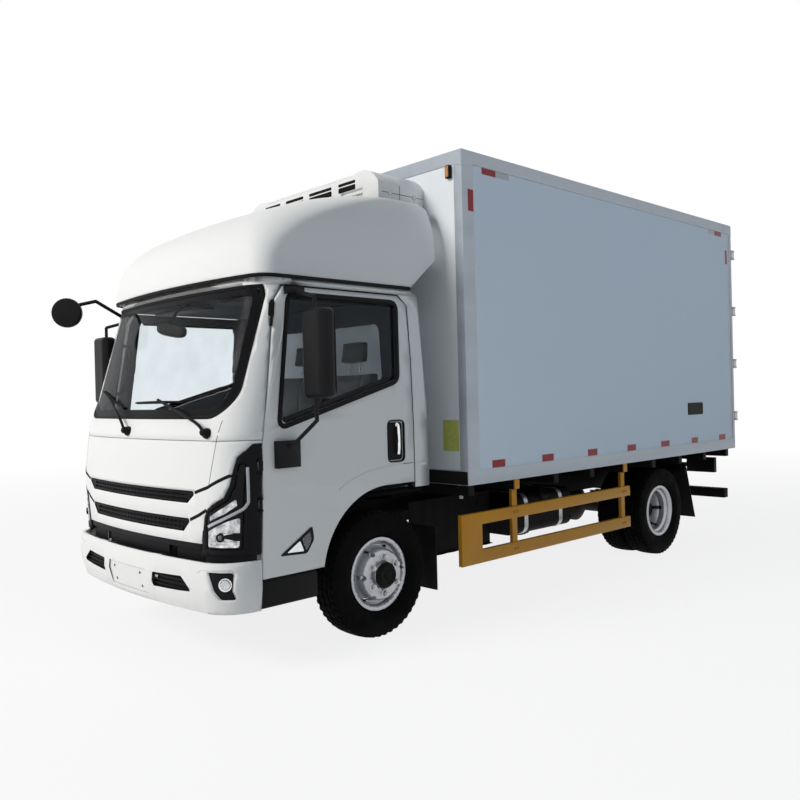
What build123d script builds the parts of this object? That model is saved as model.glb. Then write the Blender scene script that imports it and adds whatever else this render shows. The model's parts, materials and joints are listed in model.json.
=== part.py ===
from build123d import *
import os
from math import atan2, cos, radians, sin, sqrt

# Refrigerated truck, sizes in millimetres. Modelled with Y = 0 at the front axle, Y growing
# to the rear, X to the vehicle's left and Z up from the ground. The finished pieces are then
# slid along Y so that the origin lies under the middle of the whole truck.

# Running gear
WHEELBASE = 3360
TYRE_R = 387
TYRE_WIDTH = 200
RIM_FLANGE_R = 222
RIM_WIDTH = 160
RIM_LIP = 14
BEAD_DEPTH = 18
DISC_OFFSET = 118
FRONT_WHEEL_X = 852
REAR_DUAL_X = 770
STUD_COUNT = 6
STUD_PCD = 222
KINGPIN_X = 740
KINGPIN_R = 16
ARM_LENGTH = 170
TIE_ROD_R = 15
AXLE_BORE_R = 26
PIN_CLEARANCE = 0.05
SEAT_GAP = 0.3
RUN_GAP = 0.5

# Ladder frame
RAIL_OUTER_X = 350
RAIL_FLANGE = 62
RAIL_WALL = 8
RAIL_BOTTOM = 560
RAIL_HEIGHT = 180
RAIL_FRONT_Y = -1085
RAIL_REAR_Y = 4560
SPRING_X = 319
SPRING_WIDTH = 62
SPRING_HALF_SPAN = 590
SPRING_THICKNESS = 36

# Cab
CAB_BOW_R = 4950
CAB_CORNER_R = 210
CAB_WALL = 45
PANEL_SKIN = 20
DOOR_THICKNESS = 60
DOOR_GAP = 8
FLOOR_Z = 850
FLOOR_THICKNESS = 40
ROOF_LOW_Z = 2105
PANEL_LOW_Z = 700
PANEL_TOP_Z = 1254
LAMP_LOW_Z = 640
TILT_Y = -1050
TILT_Z = 640
TILT_TUBE_R = 22
ARCH_Y = 60
ARCH_Z = 425
ARCH_R = 500
DOOR_BOTTOM_Z = 502
GLASS_THICKNESS = 6
DOOR_AXIS_X = 952
DOOR_AXIS_Y = -856
DOOR_BARREL_R = 7
DOOR_PIN_R = 4

# Bumper
BUMPER_FRONT_Y = -1185
BUMPER_LOW_Z = 336
BUMPER_TOP_Z = 610
BUMPER_END_Y = -862
BUMPER_WALL = 25

# Insulated box
BOX_FRONT_Y = 653
BOX_LENGTH = 3981
BOX_HALF = 1097
BOX_LOW_Z = 872
BOX_TOP_Z = 3067
BOX_WALL = 80
BOX_FLOOR_Z = 880
BOX_FLOOR_THICKNESS = 100
BOX_ROOF_THICKNESS = 90
TRIM = 3
RUNNER_HEIGHT = 60
REAR_FRAME_DEPTH = 90
REAR_POST_WIDTH = 62
CARGO_DOOR_GAP = 6
CARGO_MEETING_GAP = 14
HINGE_OFFSET = 40
HINGE_BARREL_R = 11
HINGE_PIN_R = 6

# Worked-out places
BOX_REAR_Y = BOX_FRONT_Y + BOX_LENGTH
RAIL_TOP = RAIL_BOTTOM + RAIL_HEIGHT
REAR_REACH_Y = BOX_REAR_Y + HINGE_OFFSET + HINGE_BARREL_R
FRAME_SHIFT_Y = -(REAR_REACH_Y + BUMPER_FRONT_Y) / 2
SIDES = (("left", 1), ("right", -1))

NODES = {}


def add(name, shape):
    NODES[name] = shape


def block(x, y, z):
    """Box between two limits on each axis."""
    size = [high - low for low, high in (x, y, z)]
    middle = [(low + high) / 2 for low, high in (x, y, z)]
    return Pos(*middle) * Box(*size)


def rod(start, end, radius):
    """Round bar between two points."""
    path = Line(start, end)
    return sweep(Plane(origin=start, z_dir=path % 0) * Circle(radius), path=path)


def both(shape):
    """The left piece with its mirror image, as one compound of separate solids."""
    return Compound(children=[*shape.solids(), *mirror(shape, about=Plane.YZ).solids()])


def one_side(shape, sign):
    return shape if sign > 0 else mirror(shape, about=Plane.YZ)


def side_prism(face, x_low, x_high):
    """A sketch drawn as (Y, Z) and swept along X."""
    return extrude(Plane.YZ.offset(x_low) * face, amount=x_high - x_low)


def front_prism(face, y_low, y_high):
    """A sketch drawn as (X, Z) and swept along Y."""
    plane = Plane(origin=(0, y_low, 0), x_dir=(1, 0, 0), z_dir=(0, -1, 0))
    return extrude(plane * face, amount=y_high - y_low, dir=(0, 1, 0))


def polygon(*points):
    return make_face(Polyline(*points, close=True))


def rounded(radius, *points):
    return make_face(FilletPolyline(*points, radius=radius, close=True))


def about_wheel(profile, side):
    """Revolve an (offset along the axle, radius) outline about the X axis."""
    face = make_face(Polyline(*[(side * x, r) for x, r in profile], close=True))
    return revolve(Plane.XY * face, Axis.X, 360)


# Wheels
def tyre(centre_x):
    half = TYRE_WIDTH / 2
    bead_r = RIM_FLANGE_R - BEAD_DEPTH
    bead_half = RIM_WIDTH / 2 - RIM_LIP - SEAT_GAP
    flex_r = 0.5 * (bead_r + TYRE_R) + 10
    right = (
        (bead_half, bead_r), (bead_half, RIM_FLANGE_R + 2), (half, flex_r),
        (0.84 * half, TYRE_R - 12), (0.72 * half, TYRE_R),
    )
    outline = (*right, *[(-x, r) for x, r in reversed(right)])
    return Pos(centre_x, 0, 0) * about_wheel(outline, 1)


def rim(centre_x, outward):
    """Pressed steel wheel, its dished disc standing towards outward (+1 or -1)."""
    half = RIM_WIDTH / 2
    seat_r = RIM_FLANGE_R - BEAD_DEPTH - SEAT_GAP
    well_r = seat_r - 28
    plate = 12
    flange_in = half - RIM_LIP
    barrel = (
        (-half, RIM_FLANGE_R), (-half, seat_r - 8), (-0.55 * half, seat_r - 8), (-0.35 * half, well_r - 7),
        (0.35 * half, well_r - 7), (0.55 * half, seat_r - 8), (half, seat_r - 8), (half, RIM_FLANGE_R),
        (flange_in, RIM_FLANGE_R), (flange_in, seat_r), (0.55 * half, seat_r), (0.35 * half, well_r),
        (-0.35 * half, well_r), (-0.55 * half, seat_r), (-flange_in, seat_r), (-flange_in, RIM_FLANGE_R),
    )
    bore_r = 82
    face_r = 147
    disc = (
        (DISC_OFFSET, bore_r), (DISC_OFFSET, face_r - 8), (DISC_OFFSET - 14, face_r + 6),
        (0.3 * half + 12, well_r - 6), (0.3 * half - 4, well_r - 6), (0.3 * half - 4, well_r - 10),
        (DISC_OFFSET - 14 - plate, face_r - 8), (DISC_OFFSET - plate, face_r - 18),
        (DISC_OFFSET - plate, bore_r),
    )
    wheel = about_wheel(barrel, outward) + about_wheel(disc, outward)
    hand_hole = Rot(0, 90, 0) * extrude(SlotOverall(44, 26), amount=2 * DISC_OFFSET)
    hole_r = 0.5 * (face_r + well_r)
    for turn in range(STUD_COUNT):
        angle = 30 + 60 * turn
        place = Rot(angle, 0, 0) * Pos(0, 0, hole_r)
        wheel -= place * (hand_hole if outward > 0 else mirror(hand_hole, about=Plane.YZ))
    return Pos(centre_x, 0, 0) * wheel


def studs(x, length):
    pieces = []
    for turn in range(STUD_COUNT):
        angle = 60 * turn
        pieces.append(Rot(angle, 0, 0) * Pos(x, 0, STUD_PCD / 2) * Rot(0, 90, 0) * Cylinder(
            15, length, align=(Align.CENTER, Align.CENTER, Align.MIN)))
    return pieces


def hub(disc_x, inner_x, outer_x, drum_r, bore_r):
    """Hub and brake drum: the disc's seat at disc_x, the drum inboard, the cap outboard."""
    outline = (
        (inner_x, bore_r), (inner_x, drum_r), (disc_x - 40, drum_r), (disc_x - 14, 120),
        (disc_x, 120), (disc_x, 81), (outer_x, 70), (outer_x + 12, 55), (outer_x + 12, 0),
        (outer_x, 0), (outer_x, bore_r),
    )
    return about_wheel(outline, 1)


AXLE_Z = TYRE_R
BEAM_HALF_Y = 42
YOKE_IN = KINGPIN_X + BEAM_HALF_Y + 6
YOKE_OUT = YOKE_IN + 24
DRUM_GAP = 6
front_disc_x = FRONT_WHEEL_X + DISC_OFFSET - 12
front_hub = hub(front_disc_x, YOKE_OUT + DRUM_GAP, front_disc_x + 34, 150, AXLE_BORE_R + PIN_CLEARANCE)
front_rim = rim(FRONT_WHEEL_X, 1) + front_hub
for stud in studs(front_disc_x - 1, 36):
    front_rim += stud
outer_x = REAR_DUAL_X + DISC_OFFSET
inner_x = REAR_DUAL_X - DISC_OFFSET
rear_hub = hub(REAR_DUAL_X - 12, inner_x - 40, REAR_DUAL_X + 70, 150, AXLE_BORE_R + 12 + PIN_CLEARANCE)
rear_rim = rim(outer_x, -1) + rim(inner_x, 1) + rear_hub
for stud in studs(REAR_DUAL_X, 44):
    rear_rim += stud
rear_tyres = Compound(children=[tyre(inner_x).solid(), tyre(outer_x).solid()])
for side, sign in SIDES:
    at_front = Pos(0, 0, AXLE_Z)
    at_rear = Pos(0, WHEELBASE, AXLE_Z)
    add(f"tyre_front_{side}", at_front * one_side(tyre(FRONT_WHEEL_X), sign))
    add(f"rim_front_{side}", at_front * one_side(front_rim, sign))
    add(f"tyre_rear_{side}", at_rear * one_side(rear_tyres, sign))
    add(f"rim_rear_{side}", at_rear * one_side(rear_rim, sign))

# Front axle beam with its kingpins
FIST_LOW = AXLE_Z - 42
FIST_TOP = AXLE_Z + 42
BEAM_TOP = AXLE_Z - 17
BEAM_LOW = BEAM_TOP - 80
beam_face = polygon(
    (-KINGPIN_X, FIST_LOW), (-600, FIST_LOW), (-450, BEAM_LOW), (450, BEAM_LOW), (600, FIST_LOW),
    (KINGPIN_X, FIST_LOW), (KINGPIN_X, FIST_TOP), (640, FIST_TOP), (480, BEAM_TOP), (-480, BEAM_TOP),
    (-640, FIST_TOP), (-KINGPIN_X, FIST_TOP))
front_axle = front_prism(beam_face, -BEAM_HALF_Y, BEAM_HALF_Y)
web_face = polygon((-470, BEAM_LOW + 18), (470, BEAM_LOW + 18), (470, BEAM_TOP - 18), (-470, BEAM_TOP - 18))
front_axle -= front_prism(web_face, -BEAM_HALF_Y, -14)
front_axle -= front_prism(web_face, 14, BEAM_HALF_Y)
LUG_HEIGHT = 34
for side, sign in SIDES:
    fist = Pos(sign * KINGPIN_X, 0, AXLE_Z) * Cylinder(BEAM_HALF_Y, FIST_TOP - FIST_LOW)
    kingpin = Pos(sign * KINGPIN_X, 0, AXLE_Z) * Cylinder(KINGPIN_R, FIST_TOP - FIST_LOW + 2 * LUG_HEIGHT)
    front_axle = front_axle + fist + kingpin
add("front_axle", front_axle)

# Steering knuckles, turning on the kingpins, and the tie rod between their arms
ROD_Z = FIST_LOW - LUG_HEIGHT + 12
knuckle = block((YOKE_IN, YOKE_OUT), (-50, 50), (FIST_LOW - LUG_HEIGHT, FIST_TOP + LUG_HEIGHT))
for low in (FIST_LOW - LUG_HEIGHT, FIST_TOP + SEAT_GAP):
    lug_z = (low, low + LUG_HEIGHT - SEAT_GAP)
    lug = block((KINGPIN_X, YOKE_IN), (-36, 36), lug_z)
    lug += Pos(KINGPIN_X, 0, sum(lug_z) / 2) * Cylinder(36, LUG_HEIGHT - SEAT_GAP)
    knuckle += lug
knuckle -= Pos(KINGPIN_X, 0, AXLE_Z) * Cylinder(KINGPIN_R + PIN_CLEARANCE, 400)
spindle_end = front_disc_x + 20
knuckle += Pos(YOKE_OUT, 0, AXLE_Z) * Rot(0, 90, 0) * Cylinder(
    AXLE_BORE_R, spindle_end - YOKE_OUT, align=(Align.CENTER, Align.CENTER, Align.MIN))
ARM_PIN_R = 10
arm = block((KINGPIN_X - 22, KINGPIN_X + 22), (30, ARM_LENGTH), (ROD_Z - 12, ROD_Z + 12))
arm += Pos(KINGPIN_X, ARM_LENGTH, ROD_Z) * Cylinder(22, 24)
arm += Pos(KINGPIN_X, ARM_LENGTH, ROD_Z - 34) * Cylinder(ARM_PIN_R, 68)
knuckle += arm
for side, sign in SIDES:
    add(f"knuckle_{side}", one_side(knuckle, sign))
EYE_Z = ROD_Z - 12 - 24
tie_rod = rod((-KINGPIN_X, ARM_LENGTH, EYE_Z), (KINGPIN_X, ARM_LENGTH, EYE_Z), TIE_ROD_R)
for sign in (1, -1):
    tie_rod += Pos(sign * KINGPIN_X, ARM_LENGTH, EYE_Z) * Cylinder(24, 36)
for sign in (1, -1):
    tie_rod -= Pos(sign * KINGPIN_X, ARM_LENGTH, EYE_Z) * Cylinder(ARM_PIN_R + SEAT_GAP, 40)
add("tie_rod", tie_rod)

# Rear axle: tube, differential and spring perches
REAR_TUBE_R = 62
REAR_PERCH_Z = AXLE_Z + 75
rear_axle_end = REAR_DUAL_X + 40
rear_axle = rod((-inner_x + 60, 0, 0), (inner_x - 60, 0, 0), REAR_TUBE_R)
rear_axle += rod((-rear_axle_end, 0, 0), (rear_axle_end, 0, 0), AXLE_BORE_R + 12)
differential = ((-150, 0), (-150, 90), (-90, 165), (90, 165), (150, 90), (150, 0))
rear_axle += about_wheel(differential, 1)
NOSE_Y = -290
rear_axle += rod((0, 0, 0), (0, NOSE_Y, 0), 70)
for sign in (1, -1):
    rear_axle += block((sign * SPRING_X - 31, sign * SPRING_X + 31), (-55, 55), (0, REAR_PERCH_Z - AXLE_Z))
add("rear_axle", Pos(0, WHEELBASE, AXLE_Z) * rear_axle)


# Leaf springs: an arched pack on a clamp block, hung from the rails by an eye at each end
def leaf_spring(seat_z):
    mid_z = seat_z + 24
    end_z = RAIL_BOTTOM - 46
    half_t = SPRING_THICKNESS / 2
    span = SPRING_HALF_SPAN
    upper = ThreePointArc((-span, end_z + half_t), (0, mid_z + half_t), (span, end_z + half_t))
    lower = ThreePointArc((-span, end_z - half_t), (0, mid_z - half_t), (span, end_z - half_t))
    ends = [Line((s * span, end_z - half_t), (s * span, end_z + half_t)) for s in (-1, 1)]
    low_x = SPRING_X - SPRING_WIDTH / 2
    high_x = SPRING_X + SPRING_WIDTH / 2
    spring = side_prism(make_face([upper, lower, *ends]), low_x, high_x)
    spring += block((low_x, high_x), (-60, 60), (seat_z, mid_z + 34))
    for end in (-span, span):
        spring += rod((low_x, end, end_z), (high_x, end, end_z), 27)
        spring += block((low_x + 8, high_x - 8), (end - 20, end + 20), (end_z, RAIL_BOTTOM))
    return spring


springs = []
for axle_y, seat in ((0, BEAM_TOP), (WHEELBASE, REAR_PERCH_Z)):
    pair = both(leaf_spring(seat))
    springs += [s.moved(Location((0, axle_y, 0))) for s in pair.solids()]
add("leaf_springs", Compound(children=springs))

# Ladder frame: two channel rails, cross members and the tilt tube at the front
rail = block((RAIL_OUTER_X - RAIL_FLANGE, RAIL_OUTER_X), (RAIL_FRONT_Y, RAIL_REAR_Y), (RAIL_BOTTOM, RAIL_TOP))
rail -= block((RAIL_OUTER_X - RAIL_FLANGE, RAIL_OUTER_X - RAIL_WALL), (RAIL_FRONT_Y, RAIL_REAR_Y),
              (RAIL_BOTTOM + RAIL_WALL, RAIL_TOP - RAIL_WALL))
frame = rail + mirror(rail, about=Plane.YZ)
cross_x = RAIL_OUTER_X - RAIL_WALL
CROSS_HEIGHT = 70
cross_z = (RAIL_TOP - RAIL_WALL - CROSS_HEIGHT, RAIL_TOP - RAIL_WALL)
for y in (1050, 2000, 2800, 3900, RAIL_REAR_Y - 60):
    frame += block((-cross_x, cross_x), (y - 40, y + 40), cross_z)
tube_half = RAIL_OUTER_X + 110
frame += rod((-tube_half, TILT_Y, TILT_Z), (tube_half, TILT_Y, TILT_Z), TILT_TUBE_R)
add("ladder_frame", frame)

# Engine with its gearbox, one plain block, and the shaft to the rear axle
ENGINE_HALF = RAIL_OUTER_X - RAIL_FLANGE - 12
GEARBOX_REAR_Y = 940
engine = block((-ENGINE_HALF, ENGINE_HALF), (-720, 330), (AXLE_Z + 25, FLOOR_Z - 15))
engine += block((-150, 150), (330, GEARBOX_REAR_Y), (450, 690))
for sign in (1, -1):
    mount_x = sorted((sign * ENGINE_HALF, sign * (RAIL_OUTER_X - RAIL_WALL)))
    engine += block(mount_x, (-200, -60), (RAIL_BOTTOM + RAIL_WALL, RAIL_BOTTOM + RAIL_WALL + 60))
add("engine_block", engine)
shaft_end_y = WHEELBASE + NOSE_Y
SHAFT_R = 42
shaft = rod((0, GEARBOX_REAR_Y - SHAFT_R, 560), (0, shaft_end_y + SHAFT_R, AXLE_Z), SHAFT_R)
add("propeller_shaft", shaft & block((-SHAFT_R, SHAFT_R), (GEARBOX_REAR_Y, shaft_end_y), (0, RAIL_TOP)))


# Cab: one lofted body, cut into the real panels
CAB_SECTIONS = (
    # level z, half width, front y at the middle, rear y
    (DOOR_BOTTOM_Z - 2, 945, -1125, 435),
    (1000, 952, -1140, 435),
    (1290, 952, -1105, 435),
    (2100, 925, -868, 388),
    (2150, 912, -846, 318),
)


def cab_plan(z, half, front, rear, bow_r, corner_r):
    """Plan section: bowed front, rounded corners, straight sides and back."""
    centre_x = half - corner_r
    bow_y = front + bow_r
    centre_y = bow_y - sqrt((bow_r - corner_r) ** 2 - centre_x ** 2)
    reach = bow_r / (bow_r - corner_r)
    touch_x = centre_x * reach
    touch_y = bow_y + (centre_y - bow_y) * reach
    middle = atan2(touch_y - centre_y, touch_x - centre_x) / 2
    mid_x = centre_x + corner_r * cos(middle)
    mid_y = centre_y + corner_r * sin(middle)
    edges = [
        ThreePointArc((-touch_x, touch_y), (0, front), (touch_x, touch_y)),
        ThreePointArc((touch_x, touch_y), (mid_x, mid_y), (half, centre_y)),
        Line((half, centre_y), (half, rear)),
        Line((half, rear), (-half, rear)),
        Line((-half, rear), (-half, centre_y)),
        ThreePointArc((-half, centre_y), (-mid_x, mid_y), (-touch_x, touch_y)),
    ]
    return Pos(0, 0, z) * make_face(edges)


def cab_body(inset, roof=None):
    """The cab's outer form drawn in by inset on every side but below, and by roof at the top."""
    roof = inset if roof is None else roof
    faces = []
    for z, half, front, rear in CAB_SECTIONS:
        drop = roof if z == CAB_SECTIONS[-1][0] else 0
        faces.append(cab_plan(z - drop, half - inset, front + inset, rear - inset,
                              CAB_BOW_R - inset, CAB_CORNER_R - inset))
    return loft(faces, ruled=True)


FAR = 1400
DOOR_FRONT = ((-852, DOOR_BOTTOM_Z), (-836, 1234), (-716, 2010), (-660, 2095))
DOOR_REAR = ((206, 2095), (284, 2040), (298, 1700), (300, ARCH_Z + ARCH_R))
arch_foot_y = ARCH_Y - sqrt(ARCH_R ** 2 - (DOOR_BOTTOM_Z - ARCH_Z) ** 2)
arch_mid = (ARCH_Y - ARCH_R * sin(radians(50)), ARCH_Z + ARCH_R * cos(radians(50)))
door_face = make_face([
    Polyline((arch_foot_y, DOOR_BOTTOM_Z), *DOOR_FRONT, *DOOR_REAR, (ARCH_Y, ARCH_Z + ARCH_R)),
    ThreePointArc((ARCH_Y, ARCH_Z + ARCH_R), arch_mid, (arch_foot_y, DOOR_BOTTOM_Z)),
])
window_face = rounded(34, (-716, 1322), (172, 1572), (186, 2042), (-620, 2042))
pillar_face = polygon(
    (-FAR, LAMP_LOW_Z), (DOOR_FRONT[0][0] - DOOR_GAP, LAMP_LOW_Z),
    *[(y - DOOR_GAP, z) for y, z in DOOR_FRONT[1:3]],
    (DOOR_FRONT[3][0] - DOOR_GAP, ROOF_LOW_Z), (-FAR, ROOF_LOW_Z))
floor_top = FLOOR_Z + FLOOR_THICKNESS
back_face = polygon(
    (DOOR_REAR[3][0] + DOOR_GAP, floor_top), *[(y + DOOR_GAP, z) for y, z in reversed(DOOR_REAR[1:3])],
    (DOOR_REAR[0][0] + DOOR_GAP, ROOF_LOW_Z), (FAR, ROOF_LOW_Z), (FAR, floor_top))

outer = cab_body(0)
behind_skin = cab_body(PANEL_SKIN + SEAT_GAP)
inside = cab_body(CAB_WALL)
skin = outer - cab_body(PANEL_SKIN)

# Windscreen and rear window outlines, as (X, Z)
SCREEN_HALF = 884
SCREEN_LOW_Z = 1368
SCREEN_CORNER_R = 175
screen_face = rounded(SCREEN_CORNER_R, (-SCREEN_HALF, SCREEN_LOW_Z), (SCREEN_HALF, SCREEN_LOW_Z),
                      (SCREEN_HALF, ROOF_LOW_Z + 90), (-SCREEN_HALF, ROOF_LOW_Z + 90))
BACK_WINDOW = (1180, 400, 1760)
back_window_face = Pos(0, BACK_WINDOW[2]) * RectangleRounded(BACK_WINDOW[0], BACK_WINDOW[1], 60)

pillar_prism = side_prism(pillar_face, -FAR, FAR)
upper_zone = block((-FAR, FAR), (-FAR, FAR), (PANEL_TOP_Z, ROOF_LOW_Z))
lower_zone = block((-FAR, FAR), (-FAR, FAR), (FLOOR_Z, PANEL_TOP_Z))
cab_front = ((outer - inside) & upper_zone) + ((behind_skin - inside) & lower_zone)
cab_front = cab_front & pillar_prism
cab_front -= front_prism(screen_face, -FAR, -400)

roof_zone = block((-FAR, FAR), (-FAR, FAR), (ROOF_LOW_Z, FAR * 2))
add("cab_roof", outer & roof_zone)

cab_back = (outer - inside) & side_prism(back_face, -FAR, FAR)
cab_back -= front_prism(back_window_face, 0, FAR)
add("cab_back", cab_back)

screen_fit = offset(screen_face, amount=-SEAT_GAP)
windscreen = (cab_body(8) - cab_body(8 + GLASS_THICKNESS)) & front_prism(screen_fit, -FAR, -400)
windscreen = windscreen & block((-FAR, FAR), (-FAR, FAR), (0, ROOF_LOW_Z - SEAT_GAP))
back_glass = (cab_body(18) - cab_body(18 + GLASS_THICKNESS)) & front_prism(
    offset(back_window_face, amount=-SEAT_GAP), 0, FAR)
add("cab_glass", Compound(children=[windscreen.solid(), back_glass.solid()]))

# Front panel, grille and headlamp corners, cut from the outer skin
LAMP_INNER = (
    # x, z up the inner edge of the black corner
    (705, LAMP_LOW_Z), (727, 766), (745, 849), (771, 888), (870, 951),
    (894, 1009), (902, 1083), (912, 1163), (933, 1196), (946, 1232), (FAR, 1234),
)
lamp_face = polygon(*LAMP_INNER, (FAR, LAMP_LOW_Z))
lamp_cut = polygon(*[(x - 5, z + 5) for x, z in LAMP_INNER], (FAR, LAMP_LOW_Z - 50), (600, LAMP_LOW_Z - 50))
ahead_of_door = pillar_prism & block((-FAR, FAR), (-FAR, 0), (LAMP_LOW_Z, PANEL_TOP_Z))
surround = skin & front_prism(lamp_face, -FAR, 0) & ahead_of_door
lamp_left = front_prism(lamp_cut, -FAR, 0)
panel = skin & ahead_of_door & block((-FAR, FAR), (-FAR, 0), (PANEL_LOW_Z, PANEL_TOP_Z - 4))
panel = panel - lamp_left - mirror(lamp_left, about=Plane.YZ)
GRILLE_SLOTS = (
    # top z, half width at the top, bottom z, half width at the bottom
    (982, 690, 914, 604),
    (831, 634, 757, 558),
)
grille_pieces = []
for top_z, top_half, low_z, low_half in GRILLE_SLOTS:
    slot = rounded(14, (-low_half, low_z), (low_half, low_z), (top_half, top_z), (-top_half, top_z))
    panel -= front_prism(slot, -FAR, 0)
    insert = (cab_body(6) - cab_body(PANEL_SKIN)) & front_prism(offset(slot, amount=-SEAT_GAP), -FAR, 0)
    for row in range(1, 3):
        z = low_z + (top_z - low_z) * row / 3
        insert -= (outer - cab_body(14)) & block((-low_half + 30, low_half - 30), (-FAR, 0), (z - 7, z + 7))
    grille_pieces.append(insert.solid())
add("front_panel", panel)
BAND_LOW_Z = BUMPER_TOP_Z + 54
band_top_z = PANEL_LOW_Z - SEAT_GAP
band_face = polygon((-690, BAND_LOW_Z), (690, BAND_LOW_Z), (700, band_top_z), (-700, band_top_z))
band = (cab_body(6) - cab_body(14)) & front_prism(band_face, -FAR, 0)
grille_pieces.append(band.solid())
add("grille", Compound(children=grille_pieces))

LAMP_UNIT = (
    # x, z round the lens
    (750, 676), (922, 676), (936, 1000), (936, 1130), (916, 1130),
    (908, 1010), (882, 938), (776, 872), (756, 820),
)
lamp_unit_face = rounded(6, *LAMP_UNIT)
LAMP_REAR_Y = -880
lamp_zone = front_prism(lamp_unit_face, -FAR, LAMP_REAR_Y)
surround -= lamp_zone
lamp_fit = offset(lamp_unit_face, amount=-SEAT_GAP)
lamp = (cab_body(3) - cab_body(PANEL_SKIN)) & front_prism(lamp_fit, -FAR, LAMP_REAR_Y - SEAT_GAP)
add("headlamps", both(lamp))

# Cab door hinges: lugs and pin on the pillar, barrel and leaf on the door
DOOR_HINGE_LEVELS = (905, 1110)
LEAF_HALF = 26
HINGE_LUG = 10
lug_x = (outer.bounding_box().max.X - PANEL_SKIN - 4, DOOR_AXIS_X + DOOR_BARREL_R)
lug_y = (DOOR_AXIS_Y - DOOR_BARREL_R - 8, DOOR_AXIS_Y + DOOR_BARREL_R)
door_leaves = []
for z in DOOR_HINGE_LEVELS:
    notch_z = (z - LEAF_HALF - HINGE_LUG - 3, z + LEAF_HALF + HINGE_LUG + 3)
    surround -= block((lug_x[0] - 6, FAR), (lug_y[0] - 3, lug_y[1] + 40), notch_z)
    for low in (z - LEAF_HALF - HINGE_LUG, z + LEAF_HALF):
        lug = block(lug_x, lug_y, (low, low + HINGE_LUG))
        cab_front = cab_front + lug + mirror(lug, about=Plane.YZ)
    pin = Pos(DOOR_AXIS_X, DOOR_AXIS_Y, z) * Cylinder(DOOR_PIN_R, 2 * (LEAF_HALF + HINGE_LUG))
    cab_front = cab_front + pin + mirror(pin, about=Plane.YZ)
    leaf_z = (z - LEAF_HALF + RUN_GAP, z + LEAF_HALF - RUN_GAP)
    leaf = block((DOOR_AXIS_X - 6, DOOR_AXIS_X), (DOOR_AXIS_Y, DOOR_AXIS_Y + 34), leaf_z)
    leaf += Pos(DOOR_AXIS_X, DOOR_AXIS_Y, z) * Cylinder(DOOR_BARREL_R, leaf_z[1] - leaf_z[0])
    leaf -= Pos(DOOR_AXIS_X, DOOR_AXIS_Y, z) * Cylinder(DOOR_PIN_R + PIN_CLEARANCE, 4 * LEAF_HALF)
    door_leaves.append(leaf)
add("cab_front", cab_front)
add("headlamp_surrounds", both(surround))

# Cab floor with the tilt brackets and the step wells behind the lower doors
door_inner = CAB_SECTIONS[1][1] - DOOR_THICKNESS
floor_half = door_inner - 12
cab_rear_y = CAB_SECTIONS[0][3]
floor_z = (FLOOR_Z, floor_top)
cab_floor = cab_body(CAB_WALL + SEAT_GAP) & block((-floor_half, floor_half), (-FAR, FAR), floor_z)
cab_floor += block((-floor_half, floor_half), (DOOR_REAR[3][0], cab_rear_y), floor_z)
STEP_WALL = 22
STEP_FRONT_Y = DOOR_FRONT[0][0] + 16
STEP_REAR_Y = ARCH_Y - ARCH_R - 66
STEP_INNER_X = 610
STEP_LOW_Z = DOOR_BOTTOM_Z + 8
well = block((STEP_INNER_X, floor_half), (STEP_FRONT_Y, STEP_REAR_Y), (STEP_LOW_Z, FLOOR_Z))
well_space = block((STEP_INNER_X + STEP_WALL, FAR), (STEP_FRONT_Y + STEP_WALL, STEP_REAR_Y - STEP_WALL),
                   (STEP_LOW_Z + STEP_WALL, FLOOR_Z + FLOOR_THICKNESS))
BRACKET_X = RAIL_OUTER_X + 40
bracket = block((BRACKET_X, BRACKET_X + 50), (TILT_Y - 34, TILT_Y + 70), (TILT_Z - 34, FLOOR_Z))
bracket -= rod((0, TILT_Y, TILT_Z), (FAR, TILT_Y, TILT_Z), TILT_TUBE_R + PIN_CLEARANCE)
for side, sign in SIDES:
    cab_floor += one_side(well, sign)
    cab_floor -= one_side(well_space, sign)
    cab_floor += one_side(bracket, sign)
add("cab_floor", cab_floor)

# Cab doors with their glass, cut from the same wall
door_wall = outer - cab_body(DOOR_THICKNESS, CAB_WALL)
door = door_wall & side_prism(door_face, 400, FAR)
door -= side_prism(window_face, 400, FAR)
for leaf in door_leaves:
    door += leaf
HANDLE = (148, 1190, 136, 250)
handle_face = Pos(HANDLE[0], HANDLE[1]) * RectangleRounded(HANDLE[2], HANDLE[3], 30)
door -= (outer - cab_body(14)) & side_prism(handle_face, 400, FAR)
door_glass = (cab_body(16) - cab_body(16 + GLASS_THICKNESS)) & side_prism(
    offset(window_face, amount=-SEAT_GAP), 400, FAR)


# Door mirrors: a tall rounded head on an upper and a lower arm, stood off the cab's side
MIRROR_WIDTH = 200
MIRROR_DEPTH = 104
MIRROR_HEIGHT = 480
MIRROR_MID_Z = 1708
MIRROR_STANDOFF = 126
MIRROR_EDGE_R = 44
MIRROR_Y = {"left": -620, "right": -750}
ARM_R = 11
ARM_STAND = 70
ARM_DROP = 120
PAD_PROUD = 34
cab_half = CAB_SECTIONS[1][1]


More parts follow.
